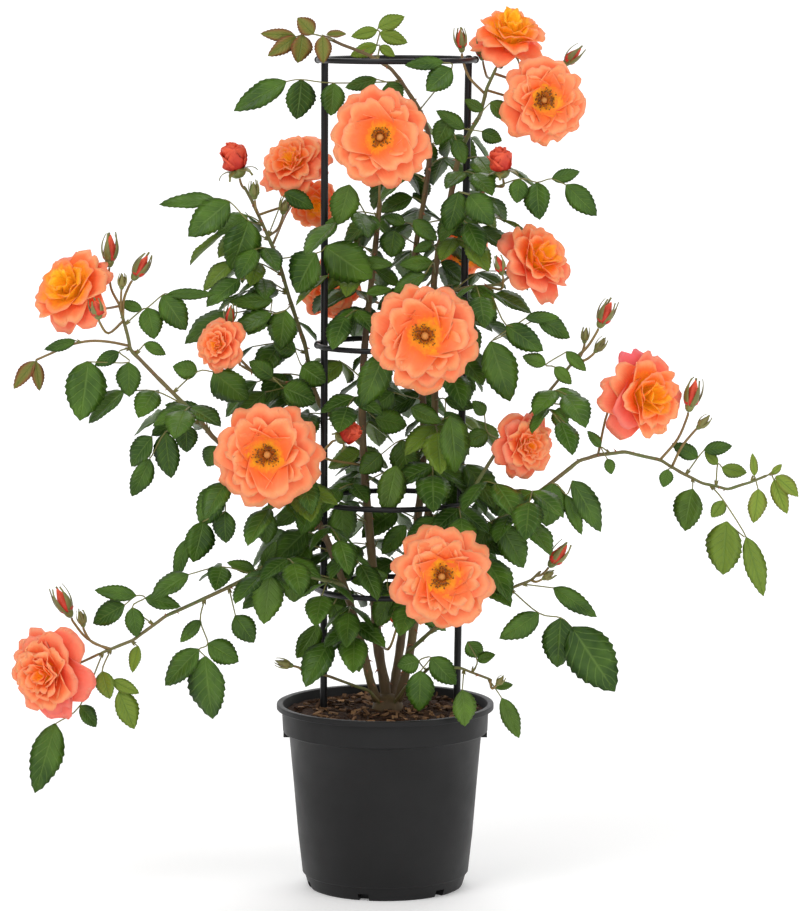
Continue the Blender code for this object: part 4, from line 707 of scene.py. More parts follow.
class Plant:
    """Places stalks and leaves, each clear of what is there already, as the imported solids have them."""

    def __init__(self, space):
        self.space = space
        self.trunks = {}
        self.side_trunks = {}
        self.stalks = {name: [] for name in BRANCHES}
        self.pedicels = {name: [] for name in BRANCHES}
        self.blades = {name: [] for name in BRANCHES}

    def trunk_point(self, branch, place):
        """The point of a branch, or of its side branch, that shows nearest a picture place."""
        paths = [self.trunks[branch], *self.side_trunks.get(branch, [])]
        points = [nearest_on(path, place) for path in paths]
        return min(points, key=lambda point: math.dist(picture_place(point), place))

    def add_stalk(self, branch, path, radius, kept):
        """Keep a stalk and remember the room it takes."""
        kept[branch].append(path)
        self.space.add_run(branch, path, radius * ROOM_GROWTH, 4)

    def add_pedicel(self, branch, node, foot, axis):
        """The stalk of a bloom or bud, from the branch to just short of its foot."""
        start = self.trunk_point(branch, node)
        end = foot - axis * SEAT_GAP
        neck = end - axis * PEDICEL_NECK
        for lean in LEANS:
            arrival = (axis + Vector((lean, 0, 0))).normalized() if lean else axis
            for sag in SAGS:
                path = [*stalk_path(start, neck, arrival, sag), end]
                inner = [*path[:-1], end - axis * (PEDICEL_RADIUS + PEDICEL_END)]
                if self.space.stalk_is_clear(inner, PEDICEL_RADIUS, skip=(branch,)):
                    self.add_stalk(branch, path, PEDICEL_RADIUS, self.pedicels)
                    return
        path = [*stalk_path(start, neck, axis, 0.0), end]
        self.add_stalk(branch, path, PEDICEL_RADIUS, self.pedicels)

    def try_leaf(self, branch, stalk, blades, own, tone):
        """Place a leaf if it is clear. own says whether it must clear its own branch too."""
        skip = () if own else (branch,)
        if not self.space.stalk_is_clear(dense_points(stalk, STALK_STEP), PETIOLE_RADIUS, skip=(branch,)):
            return False
        for base, tip, normal, width in blades:
            grown = tip + (tip - base) * TEST_GROWTH
            corners = blade_corners(base, grown, normal, width * TEST_WIDTH, LEAF_THICKNESS + 4 * SEAT_GAP)
            if not self.space.blade_is_clear(corners, skip):
                return False
        self.add_stalk(branch, stalk, PETIOLE_RADIUS, self.stalks)
        for blade in blades:
            corners = blade_corners(*blade, LEAF_THICKNESS)
            self.blades[branch].append((*blade, tone))
            self.space.add(branch, BVHTree.FromPolygons(corners, LENS_FACES), corners)
        return True

    def hand_leaf(self, leaf, number):
        """A listed leaf: its blades' outline is fixed in the picture, and its depth may shift. It
        is left out if not even its end blade is clear at any depth."""
        node = self.trunk_point(leaf.branch, (leaf.node[0] / SHEET, leaf.node[1] / SHEET))
        chance = random.Random(SEED + number)
        rolls = [chance.uniform(-MOST_ROLL, MOST_ROLL) for _ in leaf.blades]
        dips = [chance.uniform(-MOST_DIP, MOST_DIP) for _ in leaf.blades]
        tone = leaf_tone(leaf, chance)
        tries = [(leaf, shift, bend, own) for own in (True, False) for shift in SHIFTS for bend in BENDS]
        for count in range(len(leaf.blades) - 1, 0, -1):
            short = leaf._replace(blades=leaf.blades[:count])
            tries += [(short, shift, SHORT_BEND, False) for shift in SHIFTS]
        for shape, shift, bend, own in tries:
            stalk, blades = self.hand_shape(shape, node, leaf.depth + shift, rolls, dips, bend)
            if self.try_leaf(leaf.branch, stalk, blades, own, tone):
                return

    def hand_shape(self, leaf, node, depth, rolls, dips, bend):
        """The stalk and blades of a listed leaf at a depth."""
        blades = []
        bases = []
        for (base_x, base_y, tip_x, tip_y, width), roll, dip in zip(leaf.blades, rolls, dips):
            size = pixel_size(depth) / SHEET
            seen = math.dist((base_x, base_y), (tip_x, tip_y)) * size
            base = seen_on_sheet(base_x, base_y, depth)
            tip = seen_on_sheet(tip_x, tip_y, depth + dip * bend * seen)
            way = (tip - base).normalized()
            normal = Matrix.Rotation(roll * bend, 3, way) @ FRONT
            bases.append(base)
            blades.append((base, tip, normal, width * size / math.cos(roll * bend)))
        order = sorted(range(1, len(bases)), key=lambda index: (bases[index] - node).length)
        end_way = (blades[0][1] - bases[0]).normalized()
        stalk = [node, *[bases[index] for index in order], bases[0] + end_way * BLADE_ROOT]
        return stalk, blades

    def filler_leaf(self, branch, index, count, first, last, crop=""):
        """A three-bladed leaf that grows outward and arches down. Every sixth is younger."""
        chance = random.Random(f"{SEED} {branch} {index}{crop}")
        share = first + (last - first) * (index + chance.uniform(*FILLER_PLACE)) / count
        samples = dense_points(self.trunks[branch], PATH_STEP)
        node = samples[int(share * (len(samples) - 1))]
        outward = node - Vector((trellis_x(node.z), 0.0, node.z))
        outward_turn = math.atan2(outward.y, outward.x) if outward.length > 0.01 else 0.0
        tone = 0.3 if index % 6 == 5 else index % 4 * 0.04
        for attempt in range(FILLER_TRIES):
            turn = outward_turn + chance.uniform(*FILLER_TURN)
            reach = chance.uniform(*FILLER_REACH) * (1.0 - FILLER_SHRINK * attempt)
            rise = chance.uniform(*FILLER_RISE)
            way = Vector((math.cos(turn), math.sin(turn), rise)).normalized()
            stalk = [node, node + way * reach * 0.5, node + way * reach - Vector((0, 0, reach * 0.22))]
            blades = self.filler_blades(stalk, way, chance, FACING if crop else 0.0)
            if self.try_leaf(branch, stalk, blades, True, tone):
                return

    def filler_blades(self, stalk, way, chance, facing):
        """Blades for a filling leaf: one at the end and a pair at the bend, turned to the viewer."""
        front = Vector((0, -facing, 0))
        flat = Vector((way.x, way.y, 0.0)).normalized()
        side = Vector((-flat.y, flat.x, 0.0))
        droop = chance.uniform(*FILLER_DROOP)
        length = chance.uniform(*FILLER_LENGTH)
        normal = (Vector((0, 0, 1)) + flat * 0.8 + front).normalized()
        end_way = (flat - Vector((0, 0, droop))).normalized()
        base, tip = stalk[-1] - end_way * BLADE_ROOT, stalk[-1] + end_way * length
        blades = [(base, tip, normal, length * END_WIDTH)]
        for hand in (-1, 1):
            pair_way = (side * hand * 0.9 + flat * 0.45 - Vector((0, 0, droop * 0.8))).normalized()
            pair_normal = (Vector((0, 0, 1)) + side * hand * 0.6 + front).normalized()
            tip = stalk[1] + pair_way * length * PAIR_LENGTH
            blades.append((stalk[1], tip, pair_normal, length * PAIR_WIDTH))
        return blades


def leaf_tone(leaf, chance):
    """How young a leaf looks: 0 is dark green, 0.5 yellow-green and 1 olive-red."""
    x, y = leaf.node
    if y < 100 and x < 600:
        return 0.85
    if leaf.branch == "arch_left" and x < 100:
        return 0.9
    if leaf.branch == "arch_right" and x > 1220:
        return 0.55 if x > 1280 else 0.35
    if y < 110 or (leaf.branch == "arch_lower_left" and 180 < x < 230):
        return 0.4
    return chance.uniform(0.0, 0.18)


def grow_plant():
    """Grow the stems and leaves once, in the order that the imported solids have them."""
    space = Space()
    for name in ("pot", "soil", "stake_left", "stake_right", *RING_HEIGHTS, "crown"):
        add_node_room(space, name)
    plant = Plant(space)
    for name, branch in BRANCHES.items():
        points = [seen_at(x, y, depth / MILLIMETRES) for x, y, depth in branch.points]
        plant.trunks[name] = smooth_path(points, 2 if name.startswith("cane") else 1)
        space.add_run(name, plant.trunks[name], branch.start_radius * ROOM_GROWTH, 8)
    side_name, side_points = SIDE_BRANCH
    side_path = [seen_at(x, y, depth / MILLIMETRES) for x, y, depth in side_points]
    plant.side_trunks[side_name] = [side_path]
    plant.add_stalk(side_name, side_path, PEDICEL_RADIUS, plant.pedicels)
    for name in BLOOMS:
        add_node_room(space, name)
        if name in OPEN_BLOOMS:
            add_node_room(space, name.replace("bloom", "stamens"))
    for name in BUDS:
        add_node_room(space, name)
    for bloom in BLOOMS.values():
        plant.add_pedicel(bloom.branch, bloom.node, *bloom_foot(bloom))
    for bud in BUDS.values():
        plant.add_pedicel(bud.branch, bud.node, *bud_foot(bud))
    for bud in SMALL_BUDS:
        foot, axis = bud_foot(bud)
        plant.add_pedicel(bud.branch, bud.node, foot + axis * 0.002, axis)
    for name, corners in FREE_ROOM.items():
        space.add_box(name, *corners)
    for number, leaf in enumerate(LEAVES):
        plant.hand_leaf(leaf, number)
    for table, crop in ((FILLERS, ""), (FINE_LEAVES, " fine")):
        for name, (count, first, last) in table.items():
            for index in range(count):
                plant.filler_leaf(name, index, count, first, last, crop)
    return plant


def add_node_room(space, name):
    """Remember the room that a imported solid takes."""
    mesh = NODES[name].data
    corners = [vertex.co.copy() for vertex in mesh.vertices]
    faces = [tuple(face.vertices) for face in mesh.polygons]
    space.add(name, BVHTree.FromPolygons(corners, faces), corners)


def unit(vectors):
    """Vectors scaled to length one."""
    return vectors / np.maximum(np.linalg.norm(vectors, axis=-1, keepdims=True), 1e-12)


def placed(points, matrix):
    """Points carried by a 4 x 4 matrix."""
    matrix = np.array(matrix)
    return points @ matrix[:3, :3].T + matrix[:3, 3]


def waves(points, size, seed):
    """A soft random height at each point: the mean of seven sines along seeded directions, each
    with its own phase, with wavelengths near the size."""
    source = np.random.default_rng(seed)
    ways = unit(source.normal(size=(7, 3))) / size * source.uniform(0.6, 1.8, (7, 1))
    return np.sin(points @ ways.T * math.tau + source.uniform(0, math.tau, 7)).mean(-1)


class Mould:
    """Gathers points, faces and marks, and makes one mesh object of them."""

    def __init__(self):
        self.points = []
        self.marks = []
        self.faces = []
        self.finishes = []
        self.count = 0

    def add(self, points, faces, marks, finish=0):
        """Add points, a list of face index arrays, and one mark of three numbers for each point."""
        points = np.asarray(points, float).reshape(-1, 3)
        self.points.append(points)
        self.marks.append(np.broadcast_to(np.asarray(marks, float), (len(points), 3)))
        for group in faces:
            self.faces.append(group + self.count)
            self.finishes.append(np.full(len(group), finish))
        self.count += len(points)

    def piece(self, name, paints, slot, nodes=()):
        """The mesh object, riding on the root body."""
        mesh = bpy.data.meshes.new(name)
        points = np.concatenate(self.points)
        mesh.vertices.add(len(points))
        mesh.vertices.foreach_set("co", points.ravel())
        sizes = np.concatenate([np.full(len(group), group.shape[1]) for group in self.faces])
        corners = np.concatenate([group.ravel() for group in self.faces])
        mesh.loops.add(len(corners))
        mesh.loops.foreach_set("vertex_index", corners.astype(np.int32))
        mesh.polygons.add(len(sizes))
        starts = np.concatenate([[0], np.cumsum(sizes)[:-1]]).astype(np.int32)
        mesh.polygons.foreach_set("loop_start", starts)
        mesh.polygons.foreach_set("material_index", np.concatenate(self.finishes).astype(np.int32))
        mesh.update(calc_edges=True)
        marks = mesh.attributes.new("mark", "FLOAT_VECTOR", "POINT")
        marks.data.foreach_set("vector", np.concatenate(self.marks).ravel())
        mesh.shade_smooth()
        item = bpy.data.objects.new(name, mesh)
        bpy.context.scene.collection.objects.link(item)
        for paint in paints:
            mesh.materials.append(paint)
        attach(item, "root")
        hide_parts(*nodes)
        return item


def grid_faces(rows, columns, around=False):
    """Quads over a grid of rows x columns points. around joins the last column to the first."""
    corner = np.arange(rows * columns).reshape(rows, columns)
    beside = np.roll(corner, -1, 1)
    quads = np.stack([corner[:-1], beside[:-1], beside[1:], corner[1:]], -1)
    return (quads if around else quads[:, :-1]).reshape(-1, 4)


def copied(faces, copies, points_each):
    """Faces repeated for each copy, each time counted on by the points of one copy."""
    return (faces[None] + np.arange(copies)[:, None, None] * points_each).reshape(-1, faces.shape[1])


def tubes(paths, radii, sides):
    """Round tubes. At each station of a path a ring p + r (cos a, sin a) stands square to the path,
    in the frame of its tangent and of the axis that the path keeps furthest from. Ends are capped.
    paths is (tubes, stations, 3) and radii is (tubes, stations)."""
    paths, radii = np.asarray(paths, float), np.asarray(radii, float)
    copies, stations = radii.shape
    tangent = unit(np.gradient(paths, axis=1))
    rest = np.eye(3)[np.abs(tangent).max(1).argmin(1)][:, None]
    side = unit(np.cross(tangent, rest))
    other = np.cross(tangent, side)
    angle = np.arange(sides) * math.tau / sides
    spoke = side[:, :, None] * np.cos(angle)[:, None] + other[:, :, None] * np.sin(angle)[:, None]
    points = paths[:, :, None] + spoke * radii[:, :, None, None]
    each = stations * sides
    quads = copied(grid_faces(stations, sides, around=True), copies, each)
    turn = np.arange(sides)
    caps = copied(np.stack([turn[::-1], turn + each - sides]), copies, each)
    return points.reshape(-1, 3), [quads, caps]


def turned(profile, steps, swell=None):
    """A solid turned round Z: (r cos a, r sin a, z) for a profile of (r, z) that starts and ends on
    the axis and runs down its outer side. swell(a, r, z) may scale r."""
    profile = np.asarray(profile, float)
    angle = np.arange(steps) * math.tau / steps
    radius, height = profile[1:-1, :1], profile[1:-1, 1:]
    grown = radius * (1 + (swell(angle, radius, height) if swell else 0 * angle))
    rings = np.stack([grown * np.cos(angle), grown * np.sin(angle), height + 0 * angle], -1).reshape(-1, 3)
    points = np.concatenate([rings, [[0, 0, profile[0, 1]], [0, 0, profile[-1, 1]]]])
    rows = len(profile) - 2
    quads = grid_faces(rows, steps, around=True)[:, ::-1]
    turn = np.arange(steps)
    beside = np.roll(turn, -1)
    first, last = rows * steps, rows * steps + 1
    low = (rows - 1) * steps
    top = np.stack([turn, beside, np.full(steps, first)], -1)
    bottom = np.stack([beside + low, turn + low, np.full(steps, last)], -1)
    return points, [quads, top, bottom]


def shells(points, thickness, edge=0.35):
    """Thin closed shells round sheets: each sheet moved half the thickness along its normal to both
    sides, thinner at the edge, and joined by a rim. points is (sheets, rows, columns, 3)."""
    copies, rows, columns = points.shape[:3]
    normal = unit(np.cross(np.gradient(points, axis=2), np.gradient(points, axis=1)))
    half = np.full((rows, columns, 1), thickness / 2)
    half[[0, -1]] *= edge
    half[:, [0, -1]] *= edge
    both = np.stack([points + normal * half, points - normal * half], 1)
    each = rows * columns
    front = grid_faces(rows, columns)
    corner = np.arange(each).reshape(rows, columns)
    loop = np.concatenate([corner[0, :-1], corner[:-1, -1], corner[-1, :0:-1], corner[:0:-1, 0]])
    after = np.roll(loop, -1)
    rim = np.stack([after, loop, loop + each, after + each], -1)
    quads = np.concatenate([front, front[:, ::-1] + each, rim])
    return both.reshape(-1, 3), [copied(quads, copies, 2 * each)]


def petal_sheets(layer, chance, rows=7, columns=11):
    """A whorl of petals as (petals, rows, columns, 3), in shares of the bloom's radius.

    Over v from base to rim and u across, s = v rim(u) with rim(u) = c + (1 - c)(1 - |u|^p)^(1/p) less
    a notch near u = 0, so the end is round. The middle line's slope runs evenly from `rise` to `fall`
    along s, which gives its reach and height in closed form. Across it the sheet spans
    u width g(v), is lifted by cup u^2 and by ruffles that grow as v^2, is bent round a post of
    radius `wrap`, and is moved out by lap u, so each petal laps over the next. `loose` says how much
    the petals of a whorl differ in rise and fall."""
    count = layer.count
    v = np.linspace(0, 1, rows)[None, :, None]
    u = np.linspace(-1, 1, columns)[None, None]
    vary = lambda low, high: chance.uniform(low, high, (count, 1, 1))
    notch = vary(*layer.notch)
    shift = vary(-0.2, 0.2)
    rim = BLUNT + (1 - BLUNT) * (1 - np.abs(u) ** ROUNDNESS) ** (1 / ROUNDNESS)
    rim = rim - notch * np.exp(-((u - shift) / NOTCH_WIDTH) ** 2)
    rim = rim + SCALLOP * np.sin(u * vary(5, 8) + vary(0, math.tau)) * (1 - u ** 2)
    s = v * rim
    neck = layer.neck
    if layer.pointed:
        spread = neck + (1 - neck) * np.sin(math.pi * np.minimum(v + 0.22, 1.0)) ** 0.8 * (1 - v) ** 0.35
        s = v + 0 * u
    else:
        spread = neck + (1 - neck) * np.sin(np.minimum(v / WIDEST, 1) * math.pi / 2)
        spread = spread - 0.1 * np.maximum(v - WIDEST, 0) / (1 - WIDEST)
    width = layer.width * vary(0.9, 1.12)
    across = u * width * spread
    rise = np.radians(layer.rise + layer.loose * vary(-6, 6))
    fall = np.radians(layer.fall + layer.loose * vary(-9, 9))
    bend = fall - rise
    ends = np.radians([layer.rise, layer.fall])
    outward = (np.sin(ends[1]) - np.sin(ends[0])) / (ends[1] - ends[0])
    full = vary(0.95, 1.04) * (layer.long or (layer.reach - layer.start) / outward)
    slope = rise + bend * s
    out = layer.start + full * (np.sin(slope) - np.sin(rise)) / bend
    up = layer.floor + full * (np.cos(rise) - np.cos(slope)) / bend
    ruffle = layer.ruffle * v ** 2 * np.sin(u * vary(3.5, 6.5) + vary(0, math.tau))
    ruffle = ruffle + 0.4 * layer.ruffle * v ** 2 * np.sin(u * vary(7, 10) + vary(0, math.tau))
    curl = -layer.curl * np.maximum(v - 0.7, 0) ** 2 / 0.09 * vary(0.2, 1.0)
    lift = layer.cup * u ** 2 * np.minimum(1.5 * v, 1) + ruffle + curl
    out = out - lift * np.sin(slope)
    up = up + lift * np.cos(slope)
    wrap = layer.wrap
    out = out - wrap * (1 - np.cos(across / wrap)) + layer.lap * u * np.minimum(2 * v, 1)
    across = wrap * np.sin(across / wrap)
    turn = np.arange(count)[:, None, None] * math.tau / count + layer.turn + vary(-0.16, 0.16)
    x = out * np.cos(turn) - across * np.sin(turn)
    y = out * np.sin(turn) + across * np.cos(turn)
    return np.stack([x, y, up + 0 * x], -1)


# A petal's outline: how blunt and how round its end is, how wide its notch, how deep its scallops and
# where it is widest
BLUNT = 0.55
ROUNDNESS = 2.6
NOTCH_WIDTH = 0.2
SCALLOP = 0.022
WIDEST = 0.72
Whorl = namedtuple(
    "Whorl",
    "count reach width rise fall start floor cup ruffle curl wrap turn notch neck lap heart pointed long "
    "loose",
    defaults=(0.05, -0.26, 0.05, 0.035, 0.03, 2.0, 0.0, (0.02, 0.1), 0.2, 0.03, 0.0, False, 0.0, 1.0),
)
# Whorls from the outside in. Lengths are shares of the bloom's radius, and heart is how golden the foot is.
OPEN_WHORLS = [
    Whorl(5, 1.02, 0.52, 48, -36, cup=-0.05, ruffle=0.03, curl=0.08, notch=(0.06, 0.18), loose=1.5),
    Whorl(5, 0.96, 0.48, 58, -18, floor=-0.24, cup=0.08, curl=0.08, turn=0.63, notch=(0.06, 0.18),
          loose=1.5),
    Whorl(6, 0.78, 0.38, 66, 0, floor=-0.22, cup=0.14, ruffle=0.04, curl=0.08, turn=0.2,
          notch=(0.04, 0.16), heart=0.14, loose=1.4),
    Whorl(6, 0.64, 0.32, 68, 12, start=0.14, floor=-0.2, cup=0.12, ruffle=0.045, wrap=0.8, turn=0.7,
          heart=0.34),
    Whorl(6, 0.52, 0.19, 62, 34, start=0.24, floor=-0.17, cup=0.06, ruffle=0.05, curl=0.02, wrap=0.6,
          turn=0.1, notch=(0.05, 0.25), heart=0.66),
]
DOUBLE_WHORLS = [
    Whorl(5, 1.0, 0.5, 46, -34, cup=0.0, ruffle=0.045, curl=0.08),
    Whorl(6, 0.86, 0.42, 56, -12, floor=-0.24, cup=0.07, ruffle=0.05, curl=0.07, turn=0.6),
    Whorl(6, 0.68, 0.36, 68, 10, floor=-0.23, cup=0.09, ruffle=0.055, curl=0.06, wrap=0.8, turn=0.2,
          heart=0.2),
    Whorl(6, 0.5, 0.3, 80, 30, floor=-0.22, cup=0.08, ruffle=0.055, curl=0.05, wrap=0.5, turn=0.8,
          heart=0.35),
    Whorl(5, 0.3, 0.24, 87, 50, floor=-0.21, ruffle=0.05, wrap=0.3, turn=0.3, heart=0.5),
    Whorl(4, 0.15, 0.17, 92, 66, start=0.03, floor=-0.2, cup=0.04, ruffle=0.04, wrap=0.2, heart=0.6),
]
LOOSE_WHORLS = [
    Whorl(5, 1.0, 0.46, 44, -30, cup=0.04, ruffle=0.04, curl=0.12, notch=(0.03, 0.16), loose=1.8),
    Whorl(5, 0.92, 0.44, 56, -4, floor=-0.24, cup=0.1, ruffle=0.045, curl=0.1, turn=0.6,
          notch=(0.03, 0.16), heart=0.05, loose=1.5),
    Whorl(5, 0.72, 0.4, 70, 16, floor=-0.23, cup=0.12, ruffle=0.045, curl=0.06, wrap=0.8, turn=0.1,
          notch=(0.02, 0.12), heart=0.2, loose=1.2),
    Whorl(5, 0.46, 0.32, 82, 44, floor=-0.22, cup=0.1, ruffle=0.045, curl=0.04, wrap=0.5, turn=0.9,
          heart=0.4),
    Whorl(5, 0.24, 0.2, 90, 66, start=0.04, floor=-0.21, ruffle=0.04, wrap=0.25, turn=0.4, heart=0.6),
]
# Petals of an opening bud, in shares of its width
BUD_WHORL = Whorl(3, 0.0, 0.66, 48, 96, start=0.12, cup=0.0, ruffle=0.006, curl=0.12, wrap=0.46,
                  notch=(-0.05, 0.0), lap=0.07, long=0.7)
BUD_WHORLS = [
    BUD_WHORL,
    BUD_WHORL._replace(width=0.58, rise=62, fall=99, curl=0.05, wrap=0.4, turn=1.0, long=0.78),
    BUD_WHORL._replace(width=0.44, rise=76, fall=99, start=0.1, curl=0.02, wrap=0.28, turn=0.4, lap=0.06,
                       long=0.82),
    BUD_WHORL._replace(width=0.24, rise=86, fall=94, start=0.06, ruffle=0.004, curl=0.0, wrap=0.14,
                       turn=1.4, lap=0.05, long=0.84),
]
SEPALS = Whorl(5, 0.4, 0.085, -20, -75, start=0.06, floor=-0.27, cup=0.02, ruffle=0.0, curl=0.0,
               wrap=0.2, turn=0.3, notch=(0.0, 0.0), neck=0.25, lap=0.0, pointed=True)
BUD_SEPALS = SEPALS._replace(width=0.25, rise=58, fall=122, start=0.31, wrap=0.5, curl=0.1, long=0.88)
OPEN_BUD_SEPALS = SEPALS._replace(width=0.17, rise=20, fall=-60, start=0.16, wrap=0.5, curl=0.05, long=0.55)
BUD_FOLDS = 3
BUD_FOLD_DEPTH = 0.22
# Outlines of turned solids as radius and height: a bud's folded body and its hip in shares of the bud's
# width and length, and a bloom's hip, stamen disc and pistil in shares of its radius
BUD_BODY = [(0.0, 1.0), (0.03, 0.985), (0.1, 0.92), (0.2, 0.8), (0.33, 0.65), (0.43, 0.5),
            (0.46, 0.4), (0.42, 0.3), (0.3, 0.22), (0.0, 0.2)]
BUD_HIP = [(0.0, 0.3), (0.24, 0.29), (0.3, 0.24), (0.29, 0.17), (0.24, 0.09), (0.14, 0.02), (0.0, 0.0)]
BLOOM_HIP = [(0.0, -0.2), (0.07, -0.21), (0.1, -0.26), (0.095, -0.32), (0.115, -0.4), (0.095, -0.48),
             (0.04, -0.535), (0.0, -0.54)]
STAMEN_DISC = [(0.0, -0.1), (0.08, -0.11), (0.13, -0.14), (0.155, -0.17), (0.0, -0.18)]
PISTIL = [(0.0, 0.0), (0.04, -0.006), (0.066, -0.035), (0.07, -0.075), (0.055, -0.11), (0.0, -0.115)]


def petal_marks(sheets, tint):
    """Marks of petal shells: v from base to rim, |u| from middle to edge, and the petal's own tint."""
    full = np.zeros(sheets.shape[:3])
    v = np.linspace(0, 1, full.shape[1])[:, None]
    u = np.abs(np.linspace(-1, 1, full.shape[2]))
    marks = np.stack([v + full, u + full, tint + full], -1)
    return np.stack([marks, marks], 1).reshape(-1, 3)


def add_turned(mould, matrix, profile, across, along, steps, tone, finish=0, swell=None):
    """Add a turned solid whose profile is in shares of a size across and a size along."""
    points, faces = turned([(r * across, z * along) for r, z in profile], steps, swell)
    mould.add(placed(points, matrix), faces, (0, 0, tone), finish)


def add_sheets(mould, matrix, sheets, thickness, marks, finish):
    """Add the shells of a whorl of petals or sepals."""
    points, faces = shells(sheets, thickness)
    mould.add(placed(points, matrix), faces, marks, finish)


def leaf_blades(blades, thickness, teeth, chance):
    """Serrated leaflets, folded at the midrib.

    Along s and across u the surface is base + s L t + u h(s) w b + z n, with half-width
    h = 0.5 sin(pi s^0.8)^0.8 widened and drawn forward at every other station into a tooth, and
    z = 0.22 |u h w| - droop s^2 + a soft swell between midrib and edge + a wave along the edge."""
    base = np.array([blade[0] for blade in blades])
    tip = np.array([blade[1] for blade in blades])
    normal = np.array([blade[2] for blade in blades])
    width = np.array([blade[3] for blade in blades])[:, None, None]
    tone = np.array([blade[4] for blade in blades])[:, None, None]
    copies, rows = len(blades), 2 * teeth + 2
    length = np.linalg.norm(tip - base, axis=1)[:, None, None]
    along = unit(tip - base)
    normal = unit(normal - along * (normal * along).sum(-1, keepdims=True))
    side = np.cross(normal, along)
    station = np.linspace(0, 1, rows)
    s = station[None, :, None] + np.zeros((copies, 1, 5))
    u = np.array([-1, -0.5, 0, 0.5, 1])[None, None] + np.zeros((copies, rows, 1))
    half = 0.5 * np.maximum(np.sin(math.pi * station ** 0.8), 0) ** 0.8
    half[0], half[-1] = 0.03, 0.012
    half = half[None, :, None]
    tooth = np.where(np.arange(rows) % 2 == 1, 1.0, 0.0)
    tooth[-1] = 0.0
    tooth = tooth[None, :, None] * (np.abs(u) == 1)
    s = s + 0.35 * tooth / rows
    vary = lambda low, high: chance.uniform(low, high, (copies, 1, 1))
    across = u * half * width * (1 + 0.085 * tooth - 0.03 * (np.abs(u) == 1))
    droop = 0.06 * vary(0.6, 2.0)
    wave = 0.018 * np.sin(s * vary(9, 14) + np.sign(u) * vary(0, 3)) * np.abs(u)
    swell = 0.1 * half * width * (np.abs(u) == 0.5)
    rise = 0.22 * np.abs(across) - droop * length * s ** 2 + swell + wave * length * half * 2
    points = (base[:, None, None] + along[:, None, None] * (s * length)[..., None]
              + side[:, None, None] * across[..., None] + normal[:, None, None] * rise[..., None])
    under = points[:, :, 2] - normal[:, None] * thickness
    each = rows * 6
    points = np.concatenate([points, under[:, :, None]], 2).reshape(-1, 3)
    marks = np.stack([s, u, tone + 0 * s], -1)
    marks = np.concatenate([marks, marks[:, :, 2:3]], 2).reshape(-1, 3)
    corner = np.arange(each).reshape(rows, 6)
    top = np.stack([corner[:-1, :4], corner[:-1, 1:5], corner[1:, 1:5], corner[1:, :4]], -1).reshape(-1, 4)
    right = np.stack([corner[:-1, 4], corner[:-1, 5], corner[1:, 5], corner[1:, 4]], -1)
    left = np.stack([corner[:-1, 5], corner[:-1, 0], corner[1:, 0], corner[1:, 5]], -1)
    quads = np.concatenate([top, right, left])[:, ::-1]
    ends = np.stack([corner[0], corner[-1, ::-1]])
    return points, [copied(quads, copies, each), copied(ends, copies, each)], marks


class Paint:
    """A Principled material, with short calls for the nodes that feed it."""

    def __init__(self, name, roughness, **sockets):
        self.material = bpy.data.materials.new(name)
        self.material.use_nodes = True
        self.tree = self.material.node_tree
        self.shader = self.tree.nodes["Principled BSDF"]
        self.shader.inputs["Roughness"].default_value = roughness
        for socket, value in sockets.items():
            self.shader.inputs[socket.replace("_", " ")].default_value = value

    def node(self, kind, *feeds, **settings):
        """A node with its inputs fed in order, by sockets or plain values. None leaves an input alone."""
        made = self.tree.nodes.new(kind)
        for setting, value in settings.items():
            setattr(made, setting, value)
        for socket, feed in zip(made.inputs, feeds):
            if isinstance(feed, bpy.types.NodeSocket):
                self.tree.links.new(feed, socket)
            elif feed is not None:
                socket.default_value = feed
        return made

    def math(self, operation, *feeds):
        """One Math node's result."""
        return self.node("ShaderNodeMath", *feeds, operation=operation).outputs[0]

    def marks(self):
        """The three numbers of the piece's own mark."""
        mark = self.node("ShaderNodeAttribute", attribute_name="mark")
        return self.node("ShaderNodeSeparateXYZ", mark.outputs["Vector"]).outputs

    def noise(self, scale, detail=4.0, stretch=(1, 1, 1), roughness=0.55):
        """Noise over Object coordinates, from 0 to 1."""
        place = self.node("ShaderNodeTexCoord").outputs["Object"]
        turned_place = self.node("ShaderNodeMapping", place, None, None, stretch).outputs[0]
        made = self.node("ShaderNodeTexNoise", turned_place)
        made.inputs["Scale"].default_value = scale
        made.inputs["Detail"].default_value = detail
        made.inputs["Roughness"].default_value = roughness
        return made.outputs["Fac"]

    def span(self, value, low, high, out_low=0.0, out_high=1.0):
        """A value moved from one range to another, and kept in it."""
        return self.node("ShaderNodeMapRange", value, low, high, out_low, out_high).outputs[0]

    def mix(self, share, first, second):
        """Two colours mixed by a share."""
        made = self.node("ShaderNodeMix", data_type="RGBA")
        for socket, feed in ((made.inputs[0], share), (made.inputs[6], first), (made.inputs[7], second)):
            if isinstance(feed, bpy.types.NodeSocket):
                self.tree.links.new(feed, socket)
            else:
                socket.default_value = feed if isinstance(feed, float) else (*feed, 1.0)
        return made.outputs[2]

    def feed(self, socket, value):
        """Feed one of the shader's inputs."""
        self.tree.links.new(value, self.shader.inputs[socket])

    def bump(self, height, strength, distance):
        """Give the surface relief."""
        made = self.node("ShaderNodeBump", strength, distance)
        self.tree.links.new(height, made.inputs["Height"])
        self.feed("Normal", made.outputs[0])


